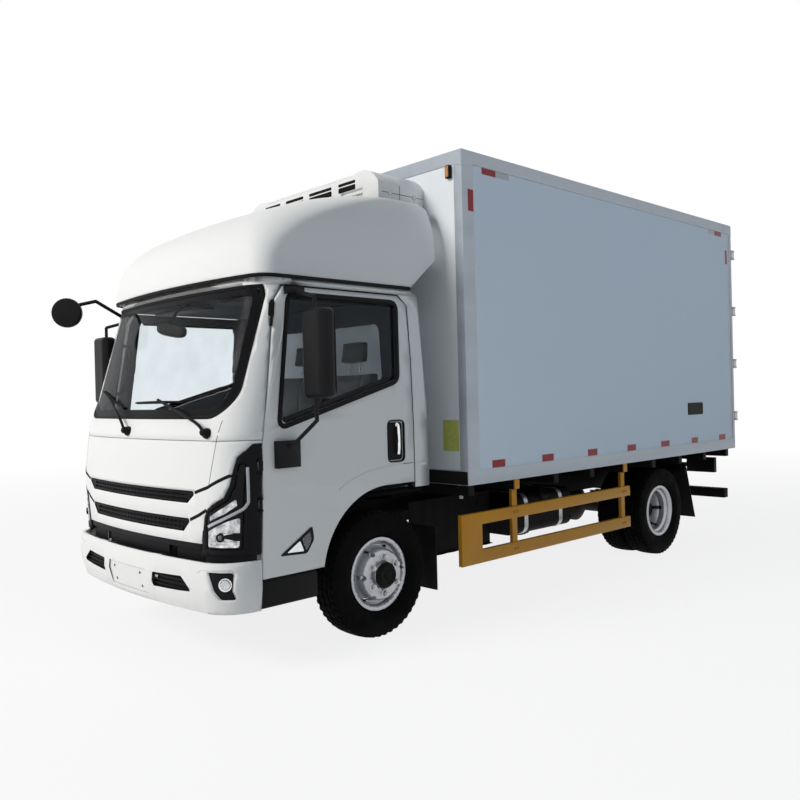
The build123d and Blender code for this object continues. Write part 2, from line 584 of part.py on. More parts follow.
def door_mirror(middle_y):
    """Head, two bent arms and the pads that hold them on the door's skin."""
    middle_x = cab_half + MIRROR_STANDOFF + MIRROR_WIDTH / 2
    plan = RectangleRounded(MIRROR_WIDTH, MIRROR_DEPTH, MIRROR_EDGE_R)
    head = extrude(plan, amount=MIRROR_HEIGHT / 2, both=True)
    head = fillet(head.edges().filter_by(Plane.XY), 30)
    shape = Pos(middle_x, middle_y, MIRROR_MID_Z) * head
    arm_x = middle_x - 0.15 * MIRROR_WIDTH
    half = MIRROR_HEIGHT / 2
    feet = (
        # foot x, foot y, foot z, which end of the head, elbow beyond the head
        (cab_half - 22, -596, 2072, 1, ARM_STAND),
        (cab_half + PAD_PROUD - 12, -690, 1185, -1, ARM_DROP),
    )
    for foot_x, foot_y, foot_z, end, beyond in feet:
        elbow = (arm_x, middle_y, MIRROR_MID_Z + end * (half + beyond))
        shape += rod((foot_x, foot_y, foot_z), elbow, ARM_R) + Pos(*elbow) * Sphere(ARM_R)
        shape += rod(elbow, (arm_x, middle_y, MIRROR_MID_Z + end * (half - 12)), ARM_R)
    shape += block((cab_half - 50, cab_half + PAD_PROUD), (-765, -612), (1092, 1240)) - outer
    shape += block((cab_half - 70, cab_half + 10), (-655, -540), (2050, 2092)) - outer
    return shape - outer


for side, sign in SIDES:
    add(f"door_{side}", one_side(door, sign))
    add(f"door_glass_{side}", one_side(door_glass, sign))
    add(f"mirror_{side}", one_side(door_mirror(MIRROR_Y[side]), sign))

# Round front mirror on the right-hand pillar, turned towards the driver
FRONT_MIRROR = (-955, -1108, 2090)
FRONT_MIRROR_R = 100
FRONT_MIRROR_TURN = 52
FRONT_ARM_R = 12
ARM_KNEE = (-900, -930, 2175)
front_mirror = extrude(Circle(FRONT_MIRROR_R), amount=24, both=True)
front_mirror = fillet(front_mirror.edges(), 14)
front_mirror = Pos(*FRONT_MIRROR) * Rot(0, 0, FRONT_MIRROR_TURN) * Rot(90, 0, 0) * front_mirror
front_mirror += rod((-955, -1100, 2130), ARM_KNEE, FRONT_ARM_R)
front_mirror += rod(ARM_KNEE, (-892, -690, 2045), FRONT_ARM_R)
front_mirror += Pos(*ARM_KNEE) * Sphere(FRONT_ARM_R)
front_mirror -= outer
add("front_mirror", front_mirror.solids().sort_by(SortBy.VOLUME)[-1])

# Roof fairing: a lofted shell, open behind, notched for the refrigeration unit
FAIRING_SECTIONS = (
    # level z, half width, front y at the middle, corner radius
    (2150, 925, -880, 130),
    (2390, 915, -823, 200),
    (2522, 905, -690, 290),
    (2615, 882, -505, 340),
    (2698, 846, -260, 360),
    (2745, 790, 30, 340),
)
FAIRING_REAR_Y = 570
FAIRING_SKIN = 22


def fairing_body(inset):
    faces = []
    for z, half, front, corner_r in FAIRING_SECTIONS:
        low = z == FAIRING_SECTIONS[0][0]
        drop = 0 if low else inset
        faces.append(cab_plan(z - drop, half - inset, front + inset, FAIRING_REAR_Y + inset,
                              CAB_BOW_R - inset, corner_r - inset))
    return loft(faces, ruled=False)


fairing = fairing_body(0) - fairing_body(FAIRING_SKIN)
UNIT_HALF = 745
UNIT_FRONT_Y = 240
UNIT_HEIGHT = 215
UNIT_TOP_Z = BOX_TOP_Z - 110
UNIT_LOW_Z = UNIT_TOP_Z - UNIT_HEIGHT
FAIRING_TOP_END_Y = 90
rear_cut = polygon((325, 2150), (FAIRING_REAR_Y, 2352), (FAR, 2352), (FAR, 2100), (325, 2100))
top_cut = polygon((400, 2860), (FAIRING_REAR_Y, 2700), (FAR, 2700), (FAR, 2900), (400, 2900))
fairing -= side_prism(rear_cut, -FAR, FAR)
fairing -= side_prism(top_cut, -FAR, FAR)
fairing -= block((-UNIT_HALF - 45, UNIT_HALF + 45), (FAIRING_TOP_END_Y, FAR), (2000, 3200))
add("roof_fairing", fairing)

# Cab inside: dashboard, steering wheel and seats
DASH_REAR_Y = -700
dash_half = floor_half - 8
dash = cab_body(CAB_WALL + SEAT_GAP) & block((-dash_half, dash_half), (-FAR, DASH_REAR_Y), (1040, 1345))
dash -= block((-FAR, FAR), (-880, FAR), (0, 1130))
add("dashboard", dash)
WHEEL_CENTRE = (430, -500, 1335)
WHEEL_R = 205
WHEEL_TILT = 32
steering = Torus(WHEEL_R, 15) + Cylinder(48, 40)
for spoke in (0, 120, 240):
    steering += Rot(0, 0, spoke + 30) * block((30, WHEEL_R), (-16, 16), (-7, 7))
steering = Pos(*WHEEL_CENTRE) * Rot(-WHEEL_TILT, 0, 0) * steering
column_foot = (WHEEL_CENTRE[0], -790, floor_top)
steering += rod(WHEEL_CENTRE, column_foot, 26)
steering -= block((-FAR, FAR), (-FAR, FAR), (0, floor_top))
add("steering_wheel", steering - dash)

SEATS = (
    # middle x, half width
    (430, 250),
    (-330, 420),
)
seat_shapes = []
for middle_x, half in SEATS:
    span = (middle_x - half, middle_x + half)
    base = block((span[0] + 30, span[1] - 30), (-230, 200), (floor_top, 1090))
    cushion = fillet(block(span, (-290, 250), (1090, 1235)).edges(), 40)
    back = polygon((150, 1200), (290, 1200), (334, 1860), (230, 1860))
    back = fillet(side_prism(back, *span).edges(), 36)
    seat_shapes.append((base + cushion + back).solid())
add("seats", Compound(children=seat_shapes))

# Bumper shell with its slots, number plate recess and brackets to the rails
BUMPER_SECTIONS = (
    # level z, half width, front y at the middle
    (BUMPER_LOW_Z, 936, BUMPER_FRONT_Y + 34),
    (BUMPER_LOW_Z + 130, 952, BUMPER_FRONT_Y),
    (BUMPER_TOP_Z, 950, BUMPER_FRONT_Y + 12),
)


def bumper_body(inset):
    faces = [cab_plan(z, half - inset, front + inset, 0, CAB_BOW_R - inset, CAB_CORNER_R - inset)
             for z, half, front in BUMPER_SECTIONS]
    return loft(faces, ruled=True)


bumper = bumper_body(0) - bumper_body(BUMPER_WALL)
bumper -= block((-FAR, FAR), (BUMPER_END_Y, FAR), (0, FAR))
slot_face = rounded(12, (312, 432), (560, 440), (690, 448), (590, 522), (312, 512))
fog_face = rounded(12, (862, 418), (920, 416), (920, 562), (800, 566))
plate_face = polygon((-232, 372), (232, 372), (232, 514), (-232, 514))
for face in (slot_face, fog_face):
    cut = front_prism(face, -FAR, -600)
    bumper = bumper - cut - mirror(cut, about=Plane.YZ)
bumper -= (bumper_body(0) - bumper_body(8)) & front_prism(plate_face, -FAR, 0)
bumper_stay = block((SPRING_X - 25, SPRING_X + 25), (-FAR, RAIL_FRONT_Y), (470, BUMPER_TOP_Z - 5))
bumper_stay = bumper_stay & bumper_body(BUMPER_WALL - 5)
bumper = bumper + bumper_stay + mirror(bumper_stay, about=Plane.YZ)
add("front_bumper", bumper)
fog_lens = (bumper_body(10) - bumper_body(BUMPER_WALL)) & front_prism(
    offset(fog_face, amount=-SEAT_GAP), -FAR, -600)
add("fog_lamps", both(fog_lens))

# Side steps under the doors, each carried by an arm from the rail
STEP_X = (886, 945)
step = block(STEP_X, (BUMPER_END_Y + 4, STEP_REAR_Y + 20), (BUMPER_LOW_Z + 6, DOOR_BOTTOM_Z - 10))
step = fillet(step.edges().filter_by(Axis.Y), 14)
arm_z = 430
step += block((SPRING_X - 20, STEP_X[0] + 5), (-760, -700), (arm_z - 18, arm_z + 18))
step += block((SPRING_X - 20, SPRING_X + 25), (-760, -700), (arm_z - 18, RAIL_BOTTOM))
add("side_steps", both(step))

# Insulated box: floor on runners and bearers, walls, roof, rear portal
wall_low = BOX_FLOOR_Z + BOX_FLOOR_THICKNESS
wall_top = BOX_TOP_Z - BOX_ROOF_THICKNESS
frame_front_y = BOX_REAR_Y - REAR_FRAME_DEPTH
BEARER_COUNT = 9
BEARER_WIDTH = 60
bearer_low = RAIL_TOP + RUNNER_HEIGHT
bearer_first = BOX_FRONT_Y + 47
bearer_pitch = (frame_front_y - 47 - bearer_first) / (BEARER_COUNT - 1)
bearers = [bearer_first + bearer_pitch * i for i in range(BEARER_COUNT)]
floor = block((-BOX_HALF, BOX_HALF), (BOX_FRONT_Y, frame_front_y), (BOX_FLOOR_Z, wall_low))
for y in bearers:
    floor += block((-BOX_HALF + 20, BOX_HALF - 20), (y - BEARER_WIDTH / 2, y + BEARER_WIDTH / 2),
                   (bearer_low, BOX_FLOOR_Z))
for sign in (1, -1):
    runner_x = sorted((sign * RAIL_OUTER_X, sign * (RAIL_OUTER_X - RAIL_FLANGE)))
    floor += block(runner_x, (BOX_FRONT_Y, frame_front_y), (RAIL_TOP, bearer_low))
add("box_floor", floor)
wall_front_y = BOX_FRONT_Y + BOX_WALL
for side, sign in SIDES:
    wall_x = sorted((sign * BOX_HALF, sign * (BOX_HALF - BOX_WALL)))
    add(f"box_wall_{side}", block(wall_x, (wall_front_y, frame_front_y), (wall_low, wall_top)))
add("box_wall_front", block((-BOX_HALF, BOX_HALF), (BOX_FRONT_Y, wall_front_y), (wall_low, wall_top)))
add("box_roof", block((-BOX_HALF, BOX_HALF), (BOX_FRONT_Y, frame_front_y), (wall_top, BOX_TOP_Z - TRIM)))
portal = block((-BOX_HALF, BOX_HALF), (frame_front_y, BOX_REAR_Y), (BOX_LOW_Z, BOX_TOP_Z - TRIM))
opening_half = BOX_HALF - REAR_POST_WIDTH
opening_low = wall_low + 6
opening_top = wall_top + 8
portal -= block((-opening_half, opening_half), (frame_front_y, BOX_REAR_Y), (opening_low, opening_top))

# Cargo door hinges: lugs and pin on the portal, strap and barrel on the door
HINGE_SHARES = (0.10, 0.36, 0.62, 0.90)
BARREL_LENGTH = 60
LUG_THICKNESS = 14
STRAP_CLEAR = 6
STRAP_THICKNESS = 8
hinge_x = BOX_HALF + TRIM
hinge_y = BOX_REAR_Y + HINGE_OFFSET
door_x = (CARGO_MEETING_GAP / 2, opening_half - CARGO_DOOR_GAP)
door_z = (opening_low + CARGO_DOOR_GAP, opening_top - CARGO_DOOR_GAP)
cargo_door = block(door_x, (BOX_REAR_Y - BOX_WALL, BOX_REAR_Y), door_z)
lugs = []
straps = []
door_height = door_z[1] - door_z[0]
for share in HINGE_SHARES:
    z = door_z[0] + share * door_height
    for low in (z - BARREL_LENGTH / 2 - RUN_GAP - LUG_THICKNESS, z + BARREL_LENGTH / 2 + RUN_GAP):
        lugs.append(block((hinge_x - 14, hinge_x + HINGE_BARREL_R), (BOX_REAR_Y, hinge_y + HINGE_BARREL_R),
                          (low, low + LUG_THICKNESS)))
    pin_length = BARREL_LENGTH + 2 * (RUN_GAP + LUG_THICKNESS)
    lugs.append(Pos(hinge_x, hinge_y, z) * Cylinder(HINGE_PIN_R, pin_length))
    strap_z = (z - BARREL_LENGTH / 2, z + BARREL_LENGTH / 2)
    strap_y = (BOX_REAR_Y + STRAP_CLEAR, BOX_REAR_Y + STRAP_CLEAR + STRAP_THICKNESS)
    strap = block((door_x[1] - 170, hinge_x + STRAP_THICKNESS / 2), strap_y, strap_z)
    strap += block((door_x[1] - 170, door_x[1] - 8), (BOX_REAR_Y, strap_y[1]), strap_z)
    knuckle_x = (hinge_x - STRAP_THICKNESS / 2, hinge_x + STRAP_THICKNESS / 2)
    strap += block(knuckle_x, (strap_y[0], hinge_y), strap_z)
    strap += Pos(hinge_x, hinge_y, z) * Cylinder(HINGE_BARREL_R, BARREL_LENGTH)
    strap -= Pos(hinge_x, hinge_y, z) * Cylinder(HINGE_PIN_R + PIN_CLEARANCE, 2 * BARREL_LENGTH)
    straps.append(strap)
for lug in lugs:
    portal = portal + lug + mirror(lug, about=Plane.YZ)
add("box_rear_frame", portal)

# Lock gear on each cargo door: two bars in guides with a handle
BAR_R = 11
BAR_OFF = 15
BAR_PLACES = (220, 760)
GUIDE_SHARES = (0.05, 0.29, 0.67, 0.95)
lock_gear = None
for x in BAR_PLACES:
    bar = rod((x, BOX_REAR_Y + BAR_OFF, opening_low - 30), (x, BOX_REAR_Y + BAR_OFF, opening_top + 24), BAR_R)
    for share in GUIDE_SHARES:
        z = door_z[0] + share * door_height
        bar += block((x - 30, x + 30), (BOX_REAR_Y, BOX_REAR_Y + BAR_OFF + BAR_R + 1), (z - 20, z + 20))
    bar += block((x, x + 300), (BOX_REAR_Y + 8, BOX_REAR_Y + 22), (1330, 1362))
    bar += block((x + 240, x + 300), (BOX_REAR_Y, BOX_REAR_Y + 22), (1318, 1374))
    lock_gear = bar if lock_gear is None else Compound(children=[*lock_gear.solids(), *bar.solids()])
hinge_straps = Compound(children=[s.solid() for s in straps])
for side, sign in SIDES:
    add(f"cargo_door_{side}", one_side(cargo_door, sign))
    gear = Compound(children=[*lock_gear.solids(), *hinge_straps.solids()])
    add(f"lock_gear_{side}", one_side(gear, sign))

# Aluminium edge rails and front corner posts, laid on the panels
rail_z = (BOX_LOW_Z, BOX_LOW_Z + 96)
trim_x = (BOX_HALF, BOX_HALF + TRIM)
trim = block(trim_x, (BOX_FRONT_Y - TRIM, BOX_REAR_Y), rail_z)
trim += block(trim_x, (BOX_FRONT_Y - TRIM, BOX_REAR_Y), (BOX_TOP_Z - 88, BOX_TOP_Z))
trim += block(trim_x, (BOX_FRONT_Y - TRIM, BOX_FRONT_Y + 110), (BOX_LOW_Z, BOX_TOP_Z))
trim += block(trim_x, (BOX_REAR_Y - 44, BOX_REAR_Y), (BOX_LOW_Z, BOX_TOP_Z))
trim += mirror(trim, about=Plane.YZ)
front_y = (BOX_FRONT_Y - TRIM, BOX_FRONT_Y)
for x in ((BOX_HALF - 68, BOX_HALF + TRIM), (-BOX_HALF - TRIM, -BOX_HALF + 68)):
    trim += block(x, front_y, (BOX_LOW_Z, BOX_TOP_Z))
for z in (rail_z, (BOX_TOP_Z - 88, BOX_TOP_Z)):
    trim += block((-BOX_HALF - TRIM, BOX_HALF + TRIM), front_y, z)
for x in ((BOX_HALF - 60, BOX_HALF + TRIM), (-BOX_HALF - TRIM, -BOX_HALF + 60)):
    trim += block(x, (BOX_FRONT_Y - TRIM, BOX_REAR_Y), (BOX_TOP_Z - TRIM, BOX_TOP_Z))
trim += block((-BOX_HALF, BOX_HALF), (BOX_FRONT_Y - TRIM, BOX_FRONT_Y + 60), (BOX_TOP_Z - TRIM, BOX_TOP_Z))
add("box_edge_rails", trim)

# Refrigeration unit on the front wall, with louvre slots
UNIT_SHOULDER_WIDTH = 220
UNIT_SHOULDER_DROP = 92
ARC_SHARE = 0.29
shoulder_z = UNIT_TOP_Z - UNIT_SHOULDER_DROP
shoulder_x = UNIT_HALF - UNIT_SHOULDER_WIDTH
arc_mid = (UNIT_HALF - ARC_SHARE * UNIT_SHOULDER_WIDTH, UNIT_TOP_Z - ARC_SHARE * UNIT_SHOULDER_DROP)
unit_face = make_face([
    Polyline((-UNIT_HALF, shoulder_z), (-UNIT_HALF, UNIT_LOW_Z),
             (UNIT_HALF, UNIT_LOW_Z), (UNIT_HALF, shoulder_z)),
    ThreePointArc((UNIT_HALF, shoulder_z), arc_mid, (shoulder_x, UNIT_TOP_Z)),
    Line((shoulder_x, UNIT_TOP_Z), (-shoulder_x, UNIT_TOP_Z)),
    ThreePointArc((-shoulder_x, UNIT_TOP_Z), (-arc_mid[0], arc_mid[1]), (-UNIT_HALF, shoulder_z)),
])
unit = front_prism(unit_face, UNIT_FRONT_Y, BOX_FRONT_Y)
unit = chamfer(unit.faces().sort_by(Axis.Y)[0].edges().sort_by(Axis.Z)[-1], 24)
LOUVRE_PAIRS = (-480, -160, 160, 480)
for x in LOUVRE_PAIRS:
    for row in range(2):
        z = UNIT_LOW_Z + 62 + 36 * row
        unit -= block((x - 110, x + 110), (UNIT_FRONT_Y, UNIT_FRONT_Y + 18), (z - 9, z + 9))
add("refrigeration_unit", unit)
lamp_box = block((BOX_HALF - 122, BOX_HALF - 82), (BOX_FRONT_Y - 30, BOX_FRONT_Y),
                 (BOX_TOP_Z - 177, BOX_TOP_Z - 92))
marker_lamp = fillet(lamp_box.edges().filter_by(Axis.Z), 8)

# Side guards on two posts, the front end closed by a plate
GUARD_X = (1036, 1070)
GUARD_FRONT_Y = 604
GUARD_REAR_Y = bearers[4] + 90
guard = block(GUARD_X, (GUARD_FRONT_Y, GUARD_REAR_Y), (600, 680))
guard += block(GUARD_X, (GUARD_FRONT_Y, GUARD_REAR_Y), (343, 430))
guard += block(GUARD_X, (GUARD_FRONT_Y, GUARD_FRONT_Y + 206), (343, 680))
for y in (bearers[1], bearers[4]):
    guard += block((GUARD_X[0] - 6, GUARD_X[1] - 14), (y - 28, y + 28), (343, bearer_low))
add("side_guards", both(guard))

# Rear underrun bar, tail lamp boards, flaps
UNDERRUN_Z = (374, 466)
underrun = block((-1000, 1000), (BOX_REAR_Y - 44, BOX_REAR_Y + 36), UNDERRUN_Z)
for sign in (1, -1):
    underrun += block((sign * SPRING_X - 31, sign * SPRING_X + 31), (BOX_REAR_Y - 154, BOX_REAR_Y - 34),
                      (UNDERRUN_Z[0], RAIL_BOTTOM))
add("rear_underrun_bar", underrun)
tail = block((660, 950), (BOX_REAR_Y - 150, BOX_REAR_Y - 96), (632, 780))
tail += block((RAIL_OUTER_X, 670), (BOX_REAR_Y - 140, BOX_REAR_Y - 106), (680, 720))
lamps = [s for part in (marker_lamp, tail) for s in both(part).solids()]
add("signal_lamps", Compound(children=lamps))
FLAP_Y = WHEELBASE + TYRE_R + 76
flap_face = polygon((FLAP_Y, 780), (FLAP_Y + 172, 254), (FLAP_Y + 182, 254), (FLAP_Y + 10, 780))
flap = side_prism(flap_face, 560, 980)
flap += block((RAIL_OUTER_X, 980), (FLAP_Y, FLAP_Y + 40), (RAIL_TOP - 60, RAIL_TOP - 20))
front_flap = block((730, 945), (486, 496), (200, 600)) + block((RAIL_OUTER_X, 945), (486, 520), (570, 610))
flaps = [s for part in (flap, front_flap) for s in both(part).solids()]
add("mud_flaps", Compound(children=flaps))

# Fuel tank on the left rail, battery box and silencer on the right
tank_plane = Plane(origin=(0, 1420, 0), x_dir=(1, 0, 0), z_dir=(0, -1, 0))
tank = tank_plane * Pos(650, 560) * RectangleRounded(420, 300, 70)
tank = extrude(tank, amount=720, dir=(0, 1, 0))
for y in (1560, 2000):
    tank += block((RAIL_OUTER_X, 460), (y - 25, y + 25), (RAIL_BOTTOM + 20, RAIL_TOP - 20))
add("fuel_tank", tank)
battery = block((-860, -440), (1650, 2150), (450, 700))
battery += block((-445, -RAIL_OUTER_X), (1700, 2100), (RAIL_BOTTOM + 10, RAIL_TOP - 20))
add("battery_box", battery)
silencer = rod((-560, 760, 520), (-560, 1380, 520), 115) + rod((-560, 1370, 520), (-560, 1560, 520), 30)
silencer += rod((-560, 640, 520), (-560, 770, 520), 30)
silencer += block((-560, -RAIL_OUTER_X), (1040, 1090), (RAIL_BOTTOM + 20, RAIL_BOTTOM + 60))
add("exhaust_silencer", silencer)

os.makedirs("parts", exist_ok=True)
for name, shape in NODES.items():
    placed = [Pos(0, FRAME_SHIFT_Y, 0) * solid for solid in shape.solids()]
    whole = placed[0] if len(placed) == 1 else Compound(children=placed)
    export_step(whole, f"parts/{name}.step")
print(len(NODES), "nodes, shift", FRAME_SHIFT_Y)
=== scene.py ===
# %% [markdown]
# A light refrigerated truck, dressed in Blender around its CAD solids. The solids carry the
# sizes, the bodies and the joints, so little here is placed by eye: most pieces are laid on a
# solid, and each is told which body it rides on and given the finish of a named material slot.

# %% Load the frame
import json
import math

import bmesh
import bpy
from mathutils import Matrix, Vector
from mathutils.bvhtree import BVHTree


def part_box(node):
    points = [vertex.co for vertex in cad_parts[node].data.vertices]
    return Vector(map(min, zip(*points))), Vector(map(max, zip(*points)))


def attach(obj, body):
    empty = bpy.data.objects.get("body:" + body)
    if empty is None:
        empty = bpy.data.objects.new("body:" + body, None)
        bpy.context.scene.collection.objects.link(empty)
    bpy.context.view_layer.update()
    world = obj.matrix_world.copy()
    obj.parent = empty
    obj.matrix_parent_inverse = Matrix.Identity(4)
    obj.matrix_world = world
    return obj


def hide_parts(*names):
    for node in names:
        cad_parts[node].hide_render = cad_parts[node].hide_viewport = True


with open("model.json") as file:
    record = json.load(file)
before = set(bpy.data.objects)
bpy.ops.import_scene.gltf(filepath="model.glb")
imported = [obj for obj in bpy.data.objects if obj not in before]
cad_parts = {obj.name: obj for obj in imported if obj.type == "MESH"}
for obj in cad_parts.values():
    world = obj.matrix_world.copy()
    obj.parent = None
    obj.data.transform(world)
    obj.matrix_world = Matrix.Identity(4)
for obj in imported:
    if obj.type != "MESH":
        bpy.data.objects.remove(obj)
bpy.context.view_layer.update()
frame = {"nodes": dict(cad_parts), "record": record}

NODES = frame["nodes"]
SLOT_OF = {part["node"]: part["material_slot"] for part in frame["record"]["subparts"]}
tyre_low, tyre_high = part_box("tyre_front_left")
AXLE_Y = (tyre_low.y + tyre_high.y) / 2

# %% [markdown]
# The camera stands where the picture was taken from: left of the cab, at about chest height.
# Its place, turn and small roll were worked out from edges of known size. Distances along the
# truck are counted from the front axle, so one helper turns such a point into the frame's own.

# %% Camera
LENS_MM, SENSOR_MM, FAR_CLIP = 36.458, 36.0, 200.0
CAMERA_AT = (4.5991, -3.3096, 1.4712)
AZIMUTH, ELEVATION, ROLL = 0.8061, 0.0055, -0.0245


def at(x, y, z):
    """A point counted from the ground under the front axle."""
    return Vector((x, y + AXLE_Y, z))


back = Vector((math.sin(AZIMUTH) * math.cos(ELEVATION),
               -math.cos(AZIMUTH) * math.cos(ELEVATION), math.sin(ELEVATION)))
level_right = Vector((0, 0, 1)).cross(back).normalized()
level_up = back.cross(level_right)
right = math.cos(ROLL) * level_right + math.sin(ROLL) * level_up
up = math.cos(ROLL) * level_up - math.sin(ROLL) * level_right
camera = bpy.data.objects.new("photo_camera", bpy.data.cameras.new("photo_camera"))
camera.data.lens = LENS_MM
camera.data.sensor_width = SENSOR_MM
camera.data.clip_end = FAR_CLIP
camera.matrix_world = Matrix.Translation(at(*CAMERA_AT)) @ Matrix(
    (right, up, back)).transposed().to_4x4()
bpy.context.scene.collection.objects.link(camera)
bpy.context.scene.camera = camera
print("camera at", [round(v, 3) for v in camera.location])

# %% [markdown]
# A cut-out photograph has no room around it, so the set is one pale floor that fades into a
# white sky a few metres off. The camera, mirrors and glass see plain white through the Light
# Path node, while the object itself is lit by a dimmer, bluer sky and two broad lamps: a warm
# one ahead, as the sun was, and a weak cool one beside, so white paint keeps its shading. The
# lamps are hidden from glossy rays, or their discs would show in the paint and the windows.

# %% Floor, sky and lamps
SKY_LIGHT, SKY_COLOUR = 0.18, (0.80, 0.90, 1.0, 1.0)
FLOOR_HALF, FLOOR_COLOUR, FLOOR_ROUGH = 60.0, (0.90, 0.90, 0.90, 1.0), 0.9
# how white the floor looks close by, and where it fades to full white, in metres from the middle
FLOOR_NEAR_SHARE, FLOOR_FADE = 0.84, (4.0, 15.0)
WHITE = (1.0, 1.0, 1.0, 1.0)


def white_to_the_eye(nodes, links):
    """A factor that is 1 for camera, mirror and glass rays, for mixing in plain white."""
    path = nodes.new("ShaderNodeLightPath")
    seen = nodes.new("ShaderNodeMath")
    seen.operation = "MAXIMUM"
    links.new(path.outputs["Is Camera Ray"], seen.inputs[0])
    links.new(path.outputs["Is Transmission Ray"], seen.inputs[1])
    wide = nodes.new("ShaderNodeMath")
    wide.operation = "MAXIMUM"
    links.new(seen.outputs[0], wide.inputs[0])
    links.new(path.outputs["Is Glossy Ray"], wide.inputs[1])
    return wide.outputs[0]


world = bpy.data.worlds.new("white_sky")
bpy.context.scene.world = world
world.use_nodes = True
sky_nodes, sky_links = world.node_tree.nodes, world.node_tree.links
light_sky = sky_nodes["Background"]
light_sky.inputs["Color"].default_value = SKY_COLOUR
light_sky.inputs["Strength"].default_value = SKY_LIGHT
white_sky = sky_nodes.new("ShaderNodeBackground")
white_sky.inputs["Color"].default_value = WHITE
sky_mix = sky_nodes.new("ShaderNodeMixShader")
sky_links.new(white_to_the_eye(sky_nodes, sky_links), sky_mix.inputs["Fac"])
sky_links.new(light_sky.outputs[0], sky_mix.inputs[1])
sky_links.new(white_sky.outputs[0], sky_mix.inputs[2])
sky_links.new(sky_mix.outputs[0], sky_nodes["World Output"].inputs["Surface"])

floor_mesh = bpy.data.meshes.new("studio_floor")
floor_mesh.from_pydata([(-FLOOR_HALF, -FLOOR_HALF, 0), (FLOOR_HALF, -FLOOR_HALF, 0),
                        (FLOOR_HALF, FLOOR_HALF, 0), (-FLOOR_HALF, FLOOR_HALF, 0)],
                       [], [(0, 1, 2, 3)])
floor = bpy.data.objects.new("studio_floor", floor_mesh)
bpy.context.scene.collection.objects.link(floor)
floor_finish = bpy.data.materials.new("studio_floor_pale")
floor_finish.use_nodes = True
floor_nodes, floor_links = floor_finish.node_tree.nodes, floor_finish.node_tree.links
floor_shader = floor_nodes["Principled BSDF"]
floor_shader.inputs["Base Color"].default_value = FLOOR_COLOUR
floor_shader.inputs["Roughness"].default_value = FLOOR_ROUGH
floor_white = floor_nodes.new("ShaderNodeEmission")
floor_white.inputs["Color"].default_value = WHITE
floor_reach = floor_nodes.new("ShaderNodeVectorMath")
floor_reach.operation = "LENGTH"
floor_links.new(floor_nodes.new("ShaderNodeTexCoord").outputs["Object"], floor_reach.inputs[0])
floor_fade = floor_nodes.new("ShaderNodeMapRange")
for key, number in (("From Min", FLOOR_FADE[0]), ("From Max", FLOOR_FADE[1]),
                    ("To Min", FLOOR_NEAR_SHARE)):
    floor_fade.inputs[key].default_value = number
floor_links.new(floor_reach.outputs["Value"], floor_fade.inputs["Value"])
floor_share = floor_nodes.new("ShaderNodeMath")
floor_share.operation = "MULTIPLY"
floor_links.new(white_to_the_eye(floor_nodes, floor_links), floor_share.inputs[0])
floor_links.new(floor_fade.outputs["Result"], floor_share.inputs[1])
floor_mix = floor_nodes.new("ShaderNodeMixShader")
floor_links.new(floor_share.outputs[0], floor_mix.inputs["Fac"])
floor_links.new(floor_shader.outputs[0], floor_mix.inputs[1])
floor_links.new(floor_white.outputs[0], floor_mix.inputs[2])
floor_links.new(floor_mix.outputs[0], floor_nodes["Material Output"].inputs["Surface"])
floor_mesh.materials.append(floor_finish)


def area_lamp(name, place, target, size, power, colour):
    lamp = bpy.data.objects.new(name, bpy.data.lights.new(name, "AREA"))
    lamp.data.shape = "DISK"
    lamp.data.size = size
    lamp.data.energy = power
    lamp.data.color = colour
    lamp.location = place
    lamp.rotation_euler = (Vector(target) - Vector(place)).to_track_quat("-Z", "Y").to_euler()
    lamp.visible_glossy = False
    bpy.context.scene.collection.objects.link(lamp)


# name, place, what it looks at, width in metres, watts, colour
LAMPS = (("key_lamp", (-2.5, -14.0, 9.0), (0.0, -1.0, 1.4), 6.0, 1640, (1.0, 0.985, 0.955)),
         ("side_lamp", (14.0, 1.0, 7.0), (0.5, 0.5, 1.5), 8.0, 190, (0.66, 0.84, 1.0)))
for lamp in LAMPS:
    area_lamp(*lamp)
print("floor, sky and", len(LAMPS), "lamps")

# %% [markdown]
# A finish is never one flat colour. Each one here blends two close tones with a broad noise,
# lets the roughness wander a little, and adds a fine grain as bump. The Bevel node rounds the
# look of every hard edge, and where it bends away from the true normal it also marks the edge,
# which is where paint wears. Road dust is mixed in by height, since it settles low down.

# %% Finish builder
bpy.context.scene.view_settings.view_transform = "Standard"
# which part of a noise counts, and for dust and chips also its scale
BLEND_SPAN, ROUGH_SPAN = (0.35, 0.65), (0.3, 0.7)
DUST_SCALE, DUST_SPAN, DUST_SHARE = 9.0, (0.3, 0.7), (0.25, 1.0)
CHIP_SCALE, CHIP_SPAN, WEAR_TURN = 38.0, (0.48, 0.62), (0.99, 0.80)
GRAIN_DEPTH, EDGE_SAMPLES = 0.001, 4


